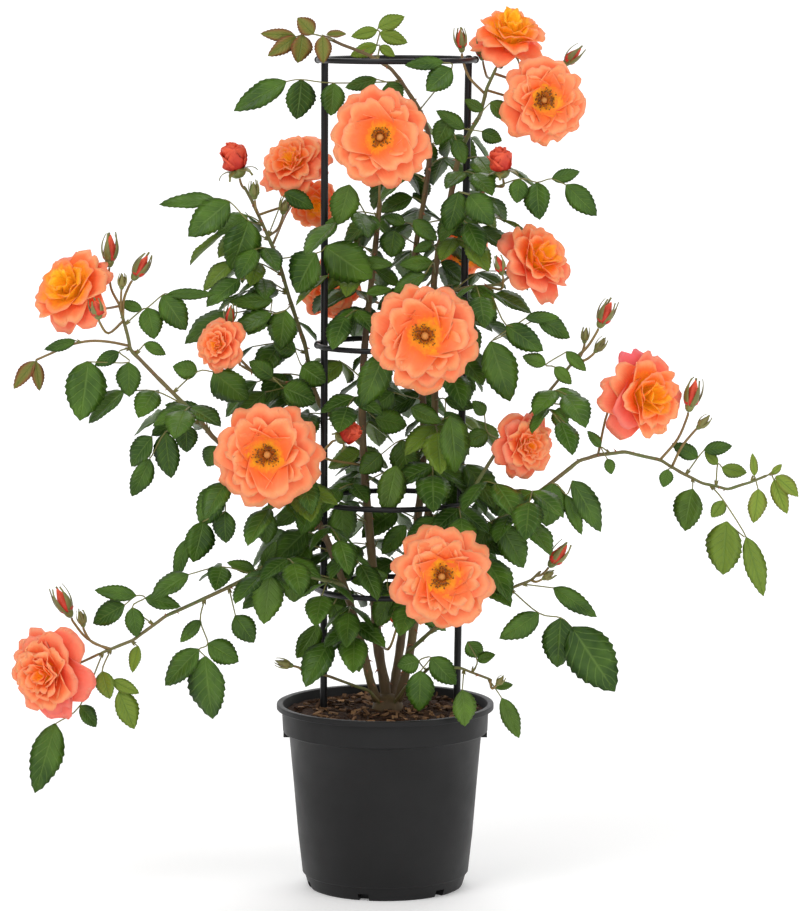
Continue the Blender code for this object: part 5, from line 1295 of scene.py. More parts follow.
class RoseSizes(bpy.types.PropertyGroup):
    """Sizes that a user may change."""

    petal_thickness: FloatProperty(name="Petal thickness", description="Thickness of a petal",
                                   default=0.0005, min=0.0002, max=0.002, precision=4, unit="LENGTH")
    leaf_thickness: FloatProperty(name="Leaf thickness", description="Thickness of a leaflet at its midrib",
                                  default=0.0006, min=0.0002, max=0.002, precision=4, unit="LENGTH")
    leaf_teeth: IntProperty(name="Leaf teeth", description="Teeth along each side of a leaflet",
                            default=9, min=2, max=14)
    thorn_length: FloatProperty(name="Thorn length", description="Length of a thorn",
                                default=0.0042, min=0.001, max=0.01, precision=4, unit="LENGTH")
    thorn_spacing: FloatProperty(name="Thorn spacing", description="Mean distance between thorns",
                                 default=0.016, min=0.005, max=0.1, precision=3, unit="LENGTH")
    chip_count: IntProperty(name="Bark chips", description="Chips of bark on the soil",
                            default=420, min=0, max=2000)
    stamen_count: IntProperty(name="Stamens", description="Stamens in an open bloom",
                              default=130, min=5, max=300)


def colour(name, value, about):
    """A colour property with its default in linear light."""
    return FloatVectorProperty(name=name, description=about, subtype="COLOR", size=3, min=0, max=1,
                               default=value)


class RoseColours(bpy.types.PropertyGroup):
    """Colours that a user may change."""

    petal: colour("Petal", (0.9, 0.19, 0.056), "Coral of the petals")
    petal_pale: colour("Petal, pale", (0.95, 0.365, 0.16), "Salmon of the petals' rims")
    # Deeper coral below the rim: partly the petals' own colour, partly painted shade where petals overlap
    petal_deep_and_shade: colour("Petal, deep", (0.9, 0.12, 0.036), "Deep coral where petals overlap")
    petal_pink: colour("Petal, pink", (0.8, 0.115, 0.135), "Pink of the outer petals")
    petal_glow: colour("Petal glow", (0.96, 0.2, 0.022), "Orange between the heart and the coral")
    petal_heart: colour("Petal heart", (1.0, 0.49, 0.018), "Yellow-orange at the petals' feet")
    bud: colour("Bud", (0.56, 0.032, 0.018), "Red of the buds")
    bud_tip: colour("Bud tip", (0.8, 0.11, 0.045), "Lighter red of the buds' tips")
    bud_dark: colour("Bud, dark", (0.42, 0.02, 0.02), "Dark red clouds on the buds")
    stamen: colour("Stamens", (0.72, 0.22, 0.02), "Orange of the filaments")
    anther: colour("Anthers", (0.17, 0.06, 0.01), "Dark brown of the anthers")
    pistil: colour("Pistil", (0.6, 0.27, 0.06), "Ochre of the pistil")
    pollen: colour("Pollen", (0.8, 0.36, 0.04), "Pollen on the stamens")
    leaf: colour("Leaf", (0.021, 0.061, 0.0036), "Dark green of grown leaves")
    leaf_light: colour("Leaf, light", (0.085, 0.18, 0.014), "Light green of leaves and veins")
    vein: colour("Vein", (0.14, 0.24, 0.045), "Pale green of the leaf veins")
    leaf_young: colour("Leaf, young", (0.21, 0.3, 0.03), "Yellow-green of young leaves")
    leaf_red: colour("Leaf, red", (0.17, 0.15, 0.03), "Olive of the newest leaves")
    leaf_fringe: colour("Leaf fringe", (0.26, 0.055, 0.025), "Red-brown edge of the newest leaves")
    stalk: colour("Stalk", (0.085, 0.15, 0.03), "Green of stalks, hips and sepals")
    stalk_light: colour("Stalk, light", (0.19, 0.25, 0.06), "Light green of stalks, hips and sepals")
    stalk_red: colour("Stalk, red", (0.3, 0.085, 0.035), "Red of stalks, hips and sepals")
    stem: colour("Stem", (0.15, 0.105, 0.035), "Green-brown of the shoots")
    shoot: colour("Shoot", (0.11, 0.15, 0.036), "Green patches on the shoots")
    streak: colour("Bark streak", (0.2, 0.125, 0.06), "Pale streaks along canes and shoots")
    thorn: colour("Thorn", (0.33, 0.105, 0.045), "Red-brown of the thorns")
    bark: colour("Bark", (0.085, 0.048, 0.02), "Brown of the old canes")
    soil: colour("Soil", (0.03, 0.013, 0.007), "Dark potting mix")
    soil_light: colour("Soil, light", (0.085, 0.04, 0.02), "Light specks in the potting mix")
    chip: colour("Bark chip", (0.42, 0.23, 0.11), "Pale bark chips")
    pot: colour("Pot", (0.0062, 0.0062, 0.0065), "Charcoal plastic of the pot")
    trellis: colour("Trellis", (0.006, 0.006, 0.0065), "Black plastic of the trellis")
    floor: colour("Floor", (0.93, 0.93, 0.93), "Studio floor")


GROWN = {}


def the_plant():
    """The grown plant, which several pieces share."""
    if not GROWN:
        GROWN["plant"] = grow_plant()
    return GROWN["plant"]


def sizes():
    """The user's sizes."""
    return bpy.context.scene.rose_sizes


def colours():
    """The user's colours."""
    return bpy.context.scene.rose_colours


def one_paint(name, make):
    """A finish that is made once and then shared."""
    name += "_finish"
    return bpy.data.materials.get(name) or make(name)


def petal_paint(name):
    """Petals: yellow-orange at the foot, coral deepened where they overlap, partly their own colour and
    partly painted shade, paler at the rim and pinker on some, with fine streaks and a faint painted glow.
    """
    tints = colours()
    paint = Paint(name, 0.6, Specular_IOR_Level=0.25, Subsurface_Weight=0.25, Subsurface_Scale=0.003)
    v, u, tint = paint.marks()
    streak = paint.noise(260, 3.0)
    blotch = paint.noise(40, 3.0)
    body = paint.mix(paint.span(blotch, 0.38, 0.74, 0.0, 0.6), tints.petal, tints.petal_pale)
    body = paint.mix(paint.span(v, 0.8, 0.96, 0.0, 0.85), body, tints.petal_pale)
    # deeper coral below the rim: partly the petal's own colour, partly painted shade where the next petals
    # overlap it
    body = paint.mix(paint.span(v, 0.5, 0.9, 1.0, 0.0), body, tints.petal_deep_and_shade)
    pinkness = paint.math("MULTIPLY", paint.span(tint, 0.0, 1.0), paint.span(v, 0.25, 0.95, 0.35, 1.0))
    body = paint.mix(pinkness, body, tints.petal_pink)
    edge = paint.math("ADD", v, paint.math("MULTIPLY", paint.math("SUBTRACT", streak, 0.5), 0.35))
    edge = paint.math("ADD", edge, paint.math("MINIMUM", tint, 0.0))
    body = paint.mix(paint.span(edge, 0.2, 0.62, 0.9, 0.0), body, tints.petal_glow)
    body = paint.mix(paint.span(edge, 0.0, 0.38, 1.0, 0.0), body, tints.petal_heart)
    rim = paint.math("MAXIMUM", v, paint.math("MULTIPLY", u, 0.98))
    body = paint.mix(paint.span(rim, 0.93, 1.0, 0.0, 0.25), body, tints.petal_pink)
    paint.feed("Base Color", body)
    # painted glow: the petals give off a faint light of their own colour, though they are no lamp
    paint.feed("Emission Color", body)
    paint.shader.inputs["Emission Strength"].default_value = PETAL_PAINTED_GLOW
    lines = paint.math("SINE", paint.math("MULTIPLY", u, 42.0))
    relief = paint.math("ADD", paint.math("MULTIPLY", lines, 0.35), streak)
    paint.bump(relief, 0.25, 0.0006)
    return paint.material


def bud_paint(name):
    """Buds: deep red with a lighter tip."""
    tints = colours()
    paint = Paint(name, 0.48, Specular_IOR_Level=0.3)
    v = paint.marks()[0]
    shade = paint.mix(paint.span(v, 0.3, 1.0), tints.bud, tints.bud_tip)
    shade = paint.mix(paint.span(paint.noise(160), 0.4, 0.75, 0.0, 0.5), shade, tints.bud_dark)
    paint.feed("Base Color", shade)
    paint.bump(paint.noise(300), 0.2, 0.0004)
    return paint.material


def leaf_paint(name):
    """Leaflets: dark glossy green with lighter veins, yellow-green when young, olive-red when new."""
    tints = colours()
    paint = Paint(name, 0.38, Specular_IOR_Level=0.28)
    s, u, tone = paint.marks()
    wide = paint.math("ABSOLUTE", u)
    cloud = paint.noise(28, 3.0)
    green = paint.mix(paint.span(cloud, 0.35, 0.72), tints.leaf, tints.leaf_light)
    young = paint.mix(paint.span(tone, 0.12, 0.5), green, tints.leaf_young)
    red = paint.mix(paint.span(tone, 0.55, 0.95), young, tints.leaf_red)
    fringe = paint.math("MULTIPLY", paint.span(tone, 0.45, 0.9), paint.span(wide, 0.35, 1.0))
    red = paint.mix(fringe, red, tints.leaf_fringe)
    slant = paint.math("SUBTRACT", paint.math("MULTIPLY", s, 46.0), paint.math("MULTIPLY", wide, 13.0))
    side_vein = paint.span(paint.math("SINE", slant), 0.7, 1.0)
    midrib = paint.span(wide, 0.0, 0.09, 1.0, 0.0)
    vein = paint.math("MAXIMUM", paint.math("MULTIPLY", side_vein, 0.6), midrib)
    shade = paint.mix(paint.math("MULTIPLY", vein, 0.6), red, tints.vein)
    paint.feed("Base Color", shade)
    paint.feed("Roughness", paint.span(paint.noise(90), 0.3, 0.7, 0.3, 0.48))
    hollow = paint.math("MULTIPLY", vein, -1.0)
    paint.bump(paint.math("ADD", hollow, paint.math("MULTIPLY", paint.noise(420, 2.0), 0.25)), 0.75, 0.0008)
    return paint.material


def green_paint(name):
    """Stalks, hips, sepals and small buds: green, redder where marked."""
    tints = colours()
    paint = Paint(name, 0.45)
    tone = paint.marks()[2]
    green = paint.mix(paint.span(paint.noise(60), 0.35, 0.7), tints.stalk, tints.stalk_light)
    paint.feed("Base Color", paint.mix(tone, green, tints.stalk_red))
    paint.bump(paint.noise(300, 2.0, (1, 1, 0.3)), 0.3, 0.0004)
    return paint.material


def stem_paint(name, young):
    """Canes and shoots: streaked bark, greener on shoots, with red-brown thorns where marked."""
    tints = colours()
    paint = Paint(name, 0.55 if young else 0.65)
    grain = paint.noise(260, 5.0, (1, 1, 0.16))
    patch = paint.noise(24, 3.0)
    first, second = (tints.stem, tints.shoot) if young else (tints.bark, tints.stem)
    body = paint.mix(paint.span(patch, 0.38, 0.66), first, second)
    body = paint.mix(paint.span(grain, 0.52, 0.78, 0.0, 0.55), body, tints.streak)
    paint.feed("Base Color", paint.mix(paint.marks()[2], body, tints.thorn))
    paint.bump(grain, 0.45, 0.0007)
    return paint.material


def plain_paint(name, tint, roughness, grain, spread):
    """Moulded plastic: one tint with a fine grain and slightly uneven gloss."""
    paint = Paint(name, roughness, Specular_IOR_Level=0.26)
    cloud = paint.noise(14, 3.0)
    lighter = tuple(channel * 1.5 for channel in tint)
    paint.feed("Base Color", paint.mix(paint.span(cloud, 0.35, 0.75), tint, lighter))
    gloss = paint.span(paint.noise(40, 5.0), 0.3, 0.7, roughness - spread, roughness + spread)
    paint.feed("Roughness", gloss)
    paint.bump(paint.noise(grain, 2.0), 0.25, 0.0003)
    return paint.material


def soil_paint(name):
    """Potting mix and bark chips: dark earth to pale bark by each piece's own mark."""
    tints = colours()
    paint = Paint(name, 0.92, Specular_IOR_Level=0.2)
    tone = paint.marks()[2]
    speck = paint.noise(420, 5.0)
    earth = paint.mix(paint.span(speck, 0.4, 0.75), tints.soil, tints.soil_light)
    paint.feed("Base Color", paint.mix(tone, earth, tints.chip))
    paint.bump(paint.noise(900, 4.0), 0.8, 0.0012)
    return paint.material


def stamen_paint(name):
    """Filaments, anthers and pistil with a pollen grain, told apart by the mark: 0, 0.5 and 1."""
    tints = colours()
    paint = Paint(name, 0.6)
    tone = paint.marks()[2]
    shade = paint.mix(paint.span(tone, 0.0, 0.5), tints.stamen, tints.anther)
    shade = paint.mix(paint.span(tone, 0.5, 1.0), shade, tints.pistil)
    grain = paint.noise(1300)
    dust = paint.math("MULTIPLY", paint.span(grain, 0.5, 0.72), 0.5)
    paint.feed("Base Color", paint.mix(dust, shade, tints.pollen))
    paint.bump(grain, 0.5, 0.0003)
    return paint.material


def box_mesh(name, size, matrix):
    """A box object to cut or join with: the corners of a cube carried by a matrix."""
    mesh = bpy.data.meshes.new(name)
    mesh.from_pydata(placed(BOX_CORNERS * size, matrix).tolist(), [], BOX_FACES)
    item = bpy.data.objects.new(name, mesh)
    bpy.context.scene.collection.objects.link(item)
    return item


class ROSE_OT_pot(bpy.types.Operator):
    """Make the nursery pot"""

    bl_idname = "rose.pot"
    bl_label = "Pot"

    def execute(self, context):
        """One turned wall with a rolled lip, a collar and a foot, then notches and hook tabs."""
        lip = [(LIP_RADIUS - 0.0006 + 0.0006 * math.sin(a), POT_HEIGHT - 0.0012 + 0.0012 * math.cos(a))
               for a in np.radians([0, 30, 60, 90])]
        inner = WALL_TOP_RADIUS - WALL
        under_lip = POT_HEIGHT - LIP_HEIGHT
        profile = [
            (0.0, FLOOR), (0.03, FLOOR), (BASE_RADIUS - WALL - 0.002, FLOOR),
            (BASE_RADIUS - WALL, FLOOR + 0.001), (WALL_FOOT_RADIUS - WALL, FOOT_HEIGHT),
            (inner, COLLAR_BOTTOM), (inner + 0.001, COLLAR_BOTTOM + 0.001),
            (COLLAR_RADIUS - WALL - 0.0006, COLLAR_BOTTOM + WALL),
            (COLLAR_RADIUS - WALL, COLLAR_BOTTOM + WALL + 0.001),
            (COLLAR_RADIUS - 0.0004, POT_HEIGHT - 0.002), (COLLAR_RADIUS + 0.0002, POT_HEIGHT - 0.0004),
            (COLLAR_RADIUS + 0.0012, POT_HEIGHT), *lip,
            (LIP_RADIUS, under_lip + 0.0005), (LIP_RADIUS - 0.0005, under_lip),
            (COLLAR_RADIUS + 0.0016, under_lip), (COLLAR_RADIUS + 0.0008, under_lip - 0.0008),
            (COLLAR_RADIUS + 0.0006, 0.158), (COLLAR_RADIUS, COLLAR_BOTTOM + 0.0008),
            (COLLAR_RADIUS - 0.0008, COLLAR_BOTTOM), (WALL_TOP_RADIUS + 0.0014, COLLAR_BOTTOM - 0.0008),
            (WALL_TOP_RADIUS, COLLAR_BOTTOM - 0.0026), (0.0848, 0.1), (0.0806, 0.05),
            (WALL_FOOT_RADIUS, FOOT_HEIGHT + 0.0012), (WALL_FOOT_RADIUS - 0.0008, FOOT_HEIGHT + 0.0002),
            (FOOT_RADIUS, FOOT_HEIGHT - 0.0006), (BASE_RADIUS + 0.0012, 0.0024),
            (BASE_RADIUS + 0.0002, 0.0006), (BASE_RADIUS - 0.001, 0.0), (0.03, 0.0), (0.0, 0.0),
        ]
        mould = Mould()
        mould.add(*turned(profile, 144), (0, 0, 0))
        paint = one_paint("pot_plastic", lambda name: plain_paint(name, colours().pot, 0.5, 900, 0.05))
        pot = mould.piece("pot_body", [paint], "pot_plastic", ["pot"])
        cutters = []
        for index in range(NOTCH_COUNT):
            turn = Matrix.Rotation(FIRST_NOTCH + index * math.tau / NOTCH_COUNT, 4, "Z")
            place = turn @ Matrix.Translation((BASE_RADIUS - 0.001, 0, 0))
            cutters.append((box_mesh("notch", NOTCH_SIZE, place), "DIFFERENCE"))
        for side in (-1, 1):
            middle = (side * (WALL_TOP_RADIUS + TAB_SIZE[0] / 4), 0, COLLAR_BOTTOM - TAB_SIZE[2] / 2)
            cutters.append((box_mesh("tab", TAB_SIZE, Matrix.Translation(middle)), "UNION"))
        for cutter, operation in cutters:
            cut = pot.modifiers.new(cutter.name, "BOOLEAN")
            cut.operation, cut.object, cut.solver = operation, cutter, "EXACT"
        graph = context.evaluated_depsgraph_get()
        cut_mesh = bpy.data.meshes.new_from_object(pot.evaluated_get(graph), depsgraph=graph)
        pot.modifiers.clear()
        pot.data = cut_mesh
        cut_mesh.set_sharp_from_angle(angle=math.radians(38))
        for cutter, _ in cutters:
            bpy.data.objects.remove(cutter, do_unlink=True)
        return {"FINISHED"}


class ROSE_OT_soil(bpy.types.Operator):
    """Make the potting mix and its bark chips"""

    bl_idname = "rose.soil"
    bl_label = "Soil"

    def execute(self, context):
        """A lumpy turned bed, and flat six-sided chips tipped at random over it."""
        reach = COLLAR_RADIUS - WALL - SEAT_GAP
        rings = [(r, SOIL_TOP + 0.0015 * (1 - (r / reach) ** 2)) for r in np.linspace(0, reach, 34)]
        profile = [*rings, (reach - 0.0002, 0.15), (0.084, SOIL_BOTTOM), (0.0, SOIL_BOTTOM)]
        points, faces = turned(profile, 110)
        top = points[:, 2] > 0.16
        lumps = 0.0016 * waves(points, 0.012, 3) + 0.0012 * waves(points, 0.005, 4)
        points[:, 2] += np.where(top, lumps, 0)
        mould = Mould()
        mould.add(points, faces, (0, 0, 0))
        source = np.random.default_rng(SEED)
        count = sizes().chip_count
        ring = np.sqrt(source.uniform(0.02, 1, count)) * (reach - 0.006)
        turn = source.uniform(0, math.tau, count)
        size = source.uniform(*CHIP_SIZES, (count, 3))
        corners = BOX_CORNERS[None] * size[:, None] * source.uniform(0.65, 1.1, (count, 8, 1))
        level = [source.normal(size=count), source.normal(size=count)]
        way = unit(np.stack([*level, source.normal(0, CHIP_TIP, count)], -1))
        side = unit(np.cross([0, 0, 1], way) + source.normal(0, CHIP_ROLL, (count, 3)))
        side = unit(side - way * (side * way).sum(-1, keepdims=True))
        axes = np.stack([way, side, np.cross(way, side)], 1)
        height = SOIL_TOP + 0.0012 * (1 - (ring / reach) ** 2) + source.uniform(0.0006, 0.0022, count)
        middle = np.stack([ring * np.cos(turn), ring * np.sin(turn), height], -1)
        chips = np.einsum("ncj,njk->nck", corners, axes) + middle[:, None]
        marks = np.zeros((count, 8, 3))
        marks[..., 2] = source.uniform(0, 1, count)[:, None] ** 3
        mould.add(chips, [copied(np.array(BOX_FACES), count, 8)], marks.reshape(-1, 3))
        piece = mould.piece("potting_mix", [one_paint("potting_mix", soil_paint)], "potting_mix", ["soil"])
        piece.data.set_sharp_from_angle(angle=math.radians(40))
        return {"FINISHED"}


class ROSE_OT_trellis(bpy.types.Operator):
    """Make the stakes, the rings and their clips"""

    bl_idname = "rose.trellis"
    bl_label = "Trellis"

    def execute(self, context):
        """Stakes are capped tubes. Rings are tori: (R + r cos b) round Z, r sin b up."""
        tint = colours().trellis
        paint = one_paint("trellis_plastic", lambda name: plain_paint(name, tint, 0.34, 700, 0.07))
        shaft = np.linspace(STAKE_FOOT, STAKE_TOP - 0.002, 40)
        heights = np.concatenate([shaft, STAKE_TOP - np.array([0.0008, 0.0])])
        for side, name in ((-1, "stake_left"), (1, "stake_right")):
            path = np.array([stake_point(side, height) for height in heights])
            radius = np.full(len(heights), STAKE_RADIUS)
            radius[0] *= 0.6
            radius[-2:] *= (0.85, 0.5)
            radius[1:-2] *= 1 + 0.015 * np.sin(heights[1:-2] * 90)
            mould = Mould()
            mould.add(*tubes(path[None], radius[None], 20), (0, 0, 0))
            mould.piece(name + "_rod", [paint], "trellis_plastic", [name])
        for name, height in RING_HEIGHTS.items():
            mould = Mould()
            round_turn = np.arange(96) * math.tau / 96
            runs = [self.ring(ring_radius(height), RING_TUBE, round_turn, 14, True)]
            sleeve = RING_TUBE * 1.38 * (1 - 0.12 * np.abs(np.linspace(-1, 1, 9)) ** 6)
            for middle in (0, math.pi):
                angle = middle + np.linspace(-0.1, 0.1, 9)
                runs.append(self.ring(ring_radius(height), sleeve[:, None], angle, 14, False))
            for points, faces in runs:
                mould.add(points + (trellis_x(height), 0, height), faces, (0, 0, 0))
            mould.piece(name + "_hoop", [paint], "trellis_plastic", [name])
        return {"FINISHED"}

    def ring(self, radius, tube, angle, sides, closed):
        """A torus, or a capped length of one as a sleeve."""
        turn = np.arange(sides) * math.tau / sides
        out = radius + tube * np.cos(turn)
        angle = angle[:, None]
        points = np.stack([out * np.cos(angle), out * np.sin(angle), tube * np.sin(turn) + 0 * angle], -1)
        rows = len(angle)
        quads = grid_faces(rows, sides, around=True)
        if closed:
            last = np.arange(sides) + (rows - 1) * sides
            first = np.arange(sides)
            seam = np.stack([last, np.roll(last, -1), np.roll(first, -1), first], -1)
            quads = np.concatenate([quads, seam])
            return points.reshape(-1, 3), [quads[:, ::-1]]
        caps = np.stack([np.arange(sides), (np.arange(sides) + (rows - 1) * sides)[::-1]])
        return points.reshape(-1, 3), [quads[:, ::-1], caps]


class ROSE_OT_stems(bpy.types.Operator):
    """Make the crown, the canes and the shoots with their thorns"""

    bl_idname = "rose.stems"
    bl_label = "Stems"

    def execute(self, context):
        """Each stem is one tapered tube whose radius swells softly, with hooked thorns on it."""
        plant = the_plant()
        old = one_paint("cane_bark", lambda name: stem_paint(name, False))
        young = one_paint("shoot_bark", lambda name: stem_paint(name, True))
        mould = Mould()
        profile = [(0, 0.179), (0.006, 0.1785), (0.0105, 0.176), (0.0135, 0.171), (0.0148, 0.166),
                   (0.0145, 0.158), (0.012, 0.152), (0, 0.151)]
        points, faces = turned(profile, 40)
        points[:, :2] *= (1 + 0.16 * waves(points, 0.016, 8))[:, None]
        mould.add(points + (0.002, 0, 0), faces, (0, 0, 0))
        mould.piece("crown_knuckle", [old], "cane_bark", ["crown"])
        for name, branch in BRANCHES.items():
            cane = name.startswith("cane")
            mould = Mould()
            self.add_stem(mould, plant.trunks[name], branch, 12 if cane else 9, name)
            slot = "cane_bark" if cane else "leaf_green"
            mould.piece(name + "_stem", [old if cane else young], slot, [name])
        return {"FINISHED"}

    def add_stem(self, mould, path, branch, sides, name):
        """Add a stem's tube and its thorns."""
        fine = np.array(smooth_path(dense_points(path, 0.012), 3))
        share = np.linspace(0, 1, len(fine))
        source = np.random.default_rng(sum(map(ord, name)))
        knots = np.sin(share * len(fine) * 0.35 + source.uniform(0, 6)) ** 12
        taper = branch.start_radius + (branch.end_radius - branch.start_radius) * share
        radius = taper * (1 + 0.1 * knots + 0.03 * np.sin(share * 57))
        radius[-1] *= 0.5
        mould.add(*tubes(fine[None], radius[None], sides), (0, 0, 0))
        length = np.linalg.norm(np.diff(fine, axis=0), axis=1).sum()
        count = int(length / sizes().thorn_spacing)
        spot = (np.arange(count) + source.uniform(0.1, 0.9, count)) / max(count, 1) * 0.94 + 0.03
        index = (spot * (len(fine) - 1)).astype(int)
        tangent = unit(np.gradient(fine, axis=0))[index]
        turn = source.uniform(0, math.tau, count)[:, None]
        side = unit(np.cross(tangent, (0.31, 0.95, 0.05)))
        out = side * np.cos(turn) + np.cross(tangent, side) * np.sin(turn)
        long = sizes().thorn_length * source.uniform(0.55, 1.1, count) * (0.6 + 0.4 * radius[index] / 0.003)
        long = long[:, None, None]
        step = np.array([0.0, 0.3, 0.65, 1.0])[None, :, None]
        root = fine[index] + out * (radius[index] * 0.75)[:, None]
        paths = root[:, None] + out[:, None] * step * long - tangent[:, None] * (0.55 * step ** 2) * long
        wide = np.array([0.34, 0.19, 0.08, 0.012])[None] * long[:, :, 0]
        if count:
            mould.add(*tubes(paths, wide, 5), (0, 0, 0.85))


class ROSE_OT_leaves(bpy.types.Operator):
    """Make the leaves, their stalks and the small buds"""

    bl_idname = "rose.leaves"
    bl_label = "Leaves"

    def execute(self, context):
        """Serrated leaflets on tapering stalks, with flower stalks and green buds."""
        plant = the_plant()
        thickness, teeth = sizes().leaf_thickness, sizes().leaf_teeth
        leaf = one_paint("leaf_green", leaf_paint)
        green = one_paint("stalk_green", green_paint)
        red = one_paint("bud_red", bud_paint)
        for number, name in enumerate(BRANCHES):
            chance = np.random.default_rng(SEED + number)
            mould = Mould()
            if plant.blades[name]:
                mould.add(*leaf_blades(plant.blades[name], thickness, teeth, chance))
            for kept, radius, tone in ((plant.stalks, PETIOLE_RADIUS * PETIOLE_SLIM, 0.25),
                                       (plant.pedicels, PEDICEL_RADIUS, 0.5)):
                for path in kept[name]:
                    fine = np.array(smooth_path(path, 4))
                    taper = np.linspace(radius, radius * STALK_TAPER, len(fine))
                    mould.add(*tubes(fine[None], taper[None], 6), (0, 0, tone), 1)
            for path in plant.stalks[name]:
                self.add_bracts(mould, path)
            for bud in SMALL_BUDS:
                if bud.branch == name:
                    add_bud_shape(mould, bud, 2 if bud.at in RED_BUDS else 1, 1, chance, 0.35)
            if mould.count:
                mould.piece(name + "_leaves", [leaf, green, red], "leaf_green")
        return {"FINISHED"}

    def add_bracts(self, mould, path):
        """Add the pair of small pointed bracts at a stalk's foot."""
        way = (path[1] - path[0]).normalized()
        side = way.cross(Vector((0.2, -0.9, 0.4))).normalized()
        for hand in (-1, 1):
            tip = path[0] + way * BRACT_LENGTH + side * hand * BRACT_SPREAD
            corners = blade_corners(path[0], tip, way.cross(side), BRACT_WIDTH, BRACT_THICKNESS)
            mould.add(corners, [np.array(LENS_FACES)], (0, 0, 0.35), 1)


def add_bud_shape(mould, bud, petal_finish, green_finish, chance, tone, opened=False):
    """Add a bud: a pointed body with spiral folds, or lapped petals when it opens, its hip and sepals."""
    size = pixel_size(bud.depth)
    length, width = bud.length * size, bud.width * size
    slim = length / width
    matrix = facing_matrix(*bud_foot(bud))
    if opened:
        for whorl in BUD_WHORLS:
            sheets = petal_sheets(whorl._replace(floor=0.24 * slim, long=whorl.long * slim), chance) * width
            marks = petal_marks(sheets, 0.4)
            add_sheets(mould, matrix, sheets, sizes().petal_thickness, marks, petal_finish)
    else:
        spiral = lambda angle, height: (angle * BUD_FOLDS / math.tau + 1.6 * height / length) % 1.0
        fold = lambda angle, radius, height: BUD_FOLD_DEPTH * (spiral(angle, height) - 0.5)
        points, faces = turned([(r * width, z * length) for r, z in BUD_BODY], 30, fold)
        share = points[:, 2] / length
        marks = np.stack([share, 0 * share, np.full(len(share), tone)], -1)
        mould.add(placed(points, matrix), faces, marks, petal_finish)
    add_turned(mould, matrix, BUD_HIP, width, length, 14, 0.15, green_finish)
    sepals = OPEN_BUD_SEPALS if opened else BUD_SEPALS
    sepals = sepals._replace(floor=0.22 * slim, long=sepals.long * slim)
    sheets = petal_sheets(sepals, chance, 10, 5) * width
    add_sheets(mould, matrix, sheets, 0.0005, (0, 0, 0.25), green_finish)


class ROSE_OT_blooms(bpy.types.Operator):
    """Make the blooms with their hips and sepals"""

    bl_idname = "rose.blooms"
    bl_label = "Blooms"

    # Blooms with loose petals, and how pink and how golden each bloom is beyond the common ones
    LOOSE = ("bloom_top", "bloom_far_left", "bloom_back", "bloom_right_upper", "bloom_right",
             "bloom_upper_back")
    PINK = {"bloom_far_left": 0.35, "bloom_right": 0.75, "bloom_low_left": 0.55, "bloom_right_small": 0.35,
            "bloom_right_upper": 0.35, "bloom_behind_stake": 0.2}
    GLOW = {"bloom_top": 0.35, "bloom_far_left": 0.4, "bloom_back": 0.4, "bloom_upper_back": 0.15,
            "bloom_behind_stake": 0.08, "bloom_right_upper": 0.12, "bloom_right": 0.32}

    def execute(self, context):
        """Whorls of ruffled petals round the axis, on an urn-shaped hip with five sepals."""
        petal = one_paint("petal_coral", petal_paint)
        green = one_paint("stalk_green", green_paint)
        for number, (name, bloom) in enumerate(BLOOMS.items()):
            chance = np.random.default_rng(SEED + 50 + number)
            radius = bloom_radius(bloom)
            spin = Matrix.Rotation(chance.uniform(0, math.tau), 4, "Z")
            matrix = bloom_matrix(bloom) @ spin
            mould = Mould()
            if name in OPEN_BLOOMS:
                whorls = OPEN_WHORLS
            else:
                whorls = LOOSE_WHORLS if name in self.LOOSE else DOUBLE_WHORLS
            for depth, whorl in enumerate(whorls):
                sheets = petal_sheets(whorl, chance) * radius
                pink = self.PINK.get(name, 0.1) * (1.0 if depth < 2 else 0.25)
                glow = whorl.heart + (self.GLOW.get(name, 0.0) if depth else 0.0)
                tint = pink * chance.uniform(0.2, 1.4, (whorl.count, 1, 1)) - glow
                add_sheets(mould, matrix, sheets, sizes().petal_thickness, petal_marks(sheets, tint), 0)
            add_turned(mould, matrix, BLOOM_HIP, radius, radius, 16, 0.1, 1)
            add_sheets(mould, matrix, petal_sheets(SEPALS, chance, 8, 5) * radius, 0.0006, (0, 0, 0.2), 1)
            mould.piece(name + "_petals", [petal, green], "petal_coral", [name])
        return {"FINISHED"}


class ROSE_OT_stamens(bpy.types.Operator):
    """Make the stamens and pistils of the open blooms"""

    bl_idname = "rose.stamens"
    bl_label = "Stamens"

    def execute(self, context):
        """Filaments arch out from a dark disc round a domed, ribbed pistil. Each ends in an anther."""
        finish = one_paint("stamen", stamen_paint)
        for number, name in enumerate(OPEN_BLOOMS):
            bloom = BLOOMS[name]
            chance = np.random.default_rng(SEED + 90 + number)
            radius = bloom_radius(bloom)
            matrix = bloom_matrix(bloom)
            count = sizes().stamen_count
            turn = chance.uniform(0, math.tau, count)[:, None]
            reach = chance.uniform(0.11, 0.31, count)[:, None] * radius
            high = chance.uniform(0.02, 0.12, count)[:, None] * radius
            t = np.linspace(0, 1, 5)[None]
            out = 0.05 * radius + (reach - 0.05 * radius) * t ** 1.3
            up = -0.16 * radius + (high + 0.1 * radius) * t ** 0.8
            paths = placed(np.stack([out * np.cos(turn), out * np.sin(turn), up], -1), matrix)
            mould = Mould()
            mould.add(*tubes(paths, np.full((count, 5), 0.0002), 4), (0, 0, 0))
            way = unit(chance.normal(size=(count, 3))) * 0.0008
            knobs = paths[:, -1, None] + way[:, None] * np.linspace(-1, 1, 4)[None, :, None]
            wide = np.broadcast_to(np.array([0.0002, 0.00065, 0.00065, 0.0002]), (count, 4))
            mould.add(*tubes(knobs, wide, 6), (0, 0, 0.5))
            add_turned(mould, matrix, STAMEN_DISC, radius, radius, 24, 0.42)
            ribs = lambda angle, r, z: 0.08 * np.sin(angle * 9)
            add_turned(mould, matrix, PISTIL, radius, radius, 20, 1, swell=ribs)
            node = name.replace("bloom", "stamens")
            mould.piece(node + "_boss", [finish], "stamen_ochre", [node])
        return {"FINISHED"}


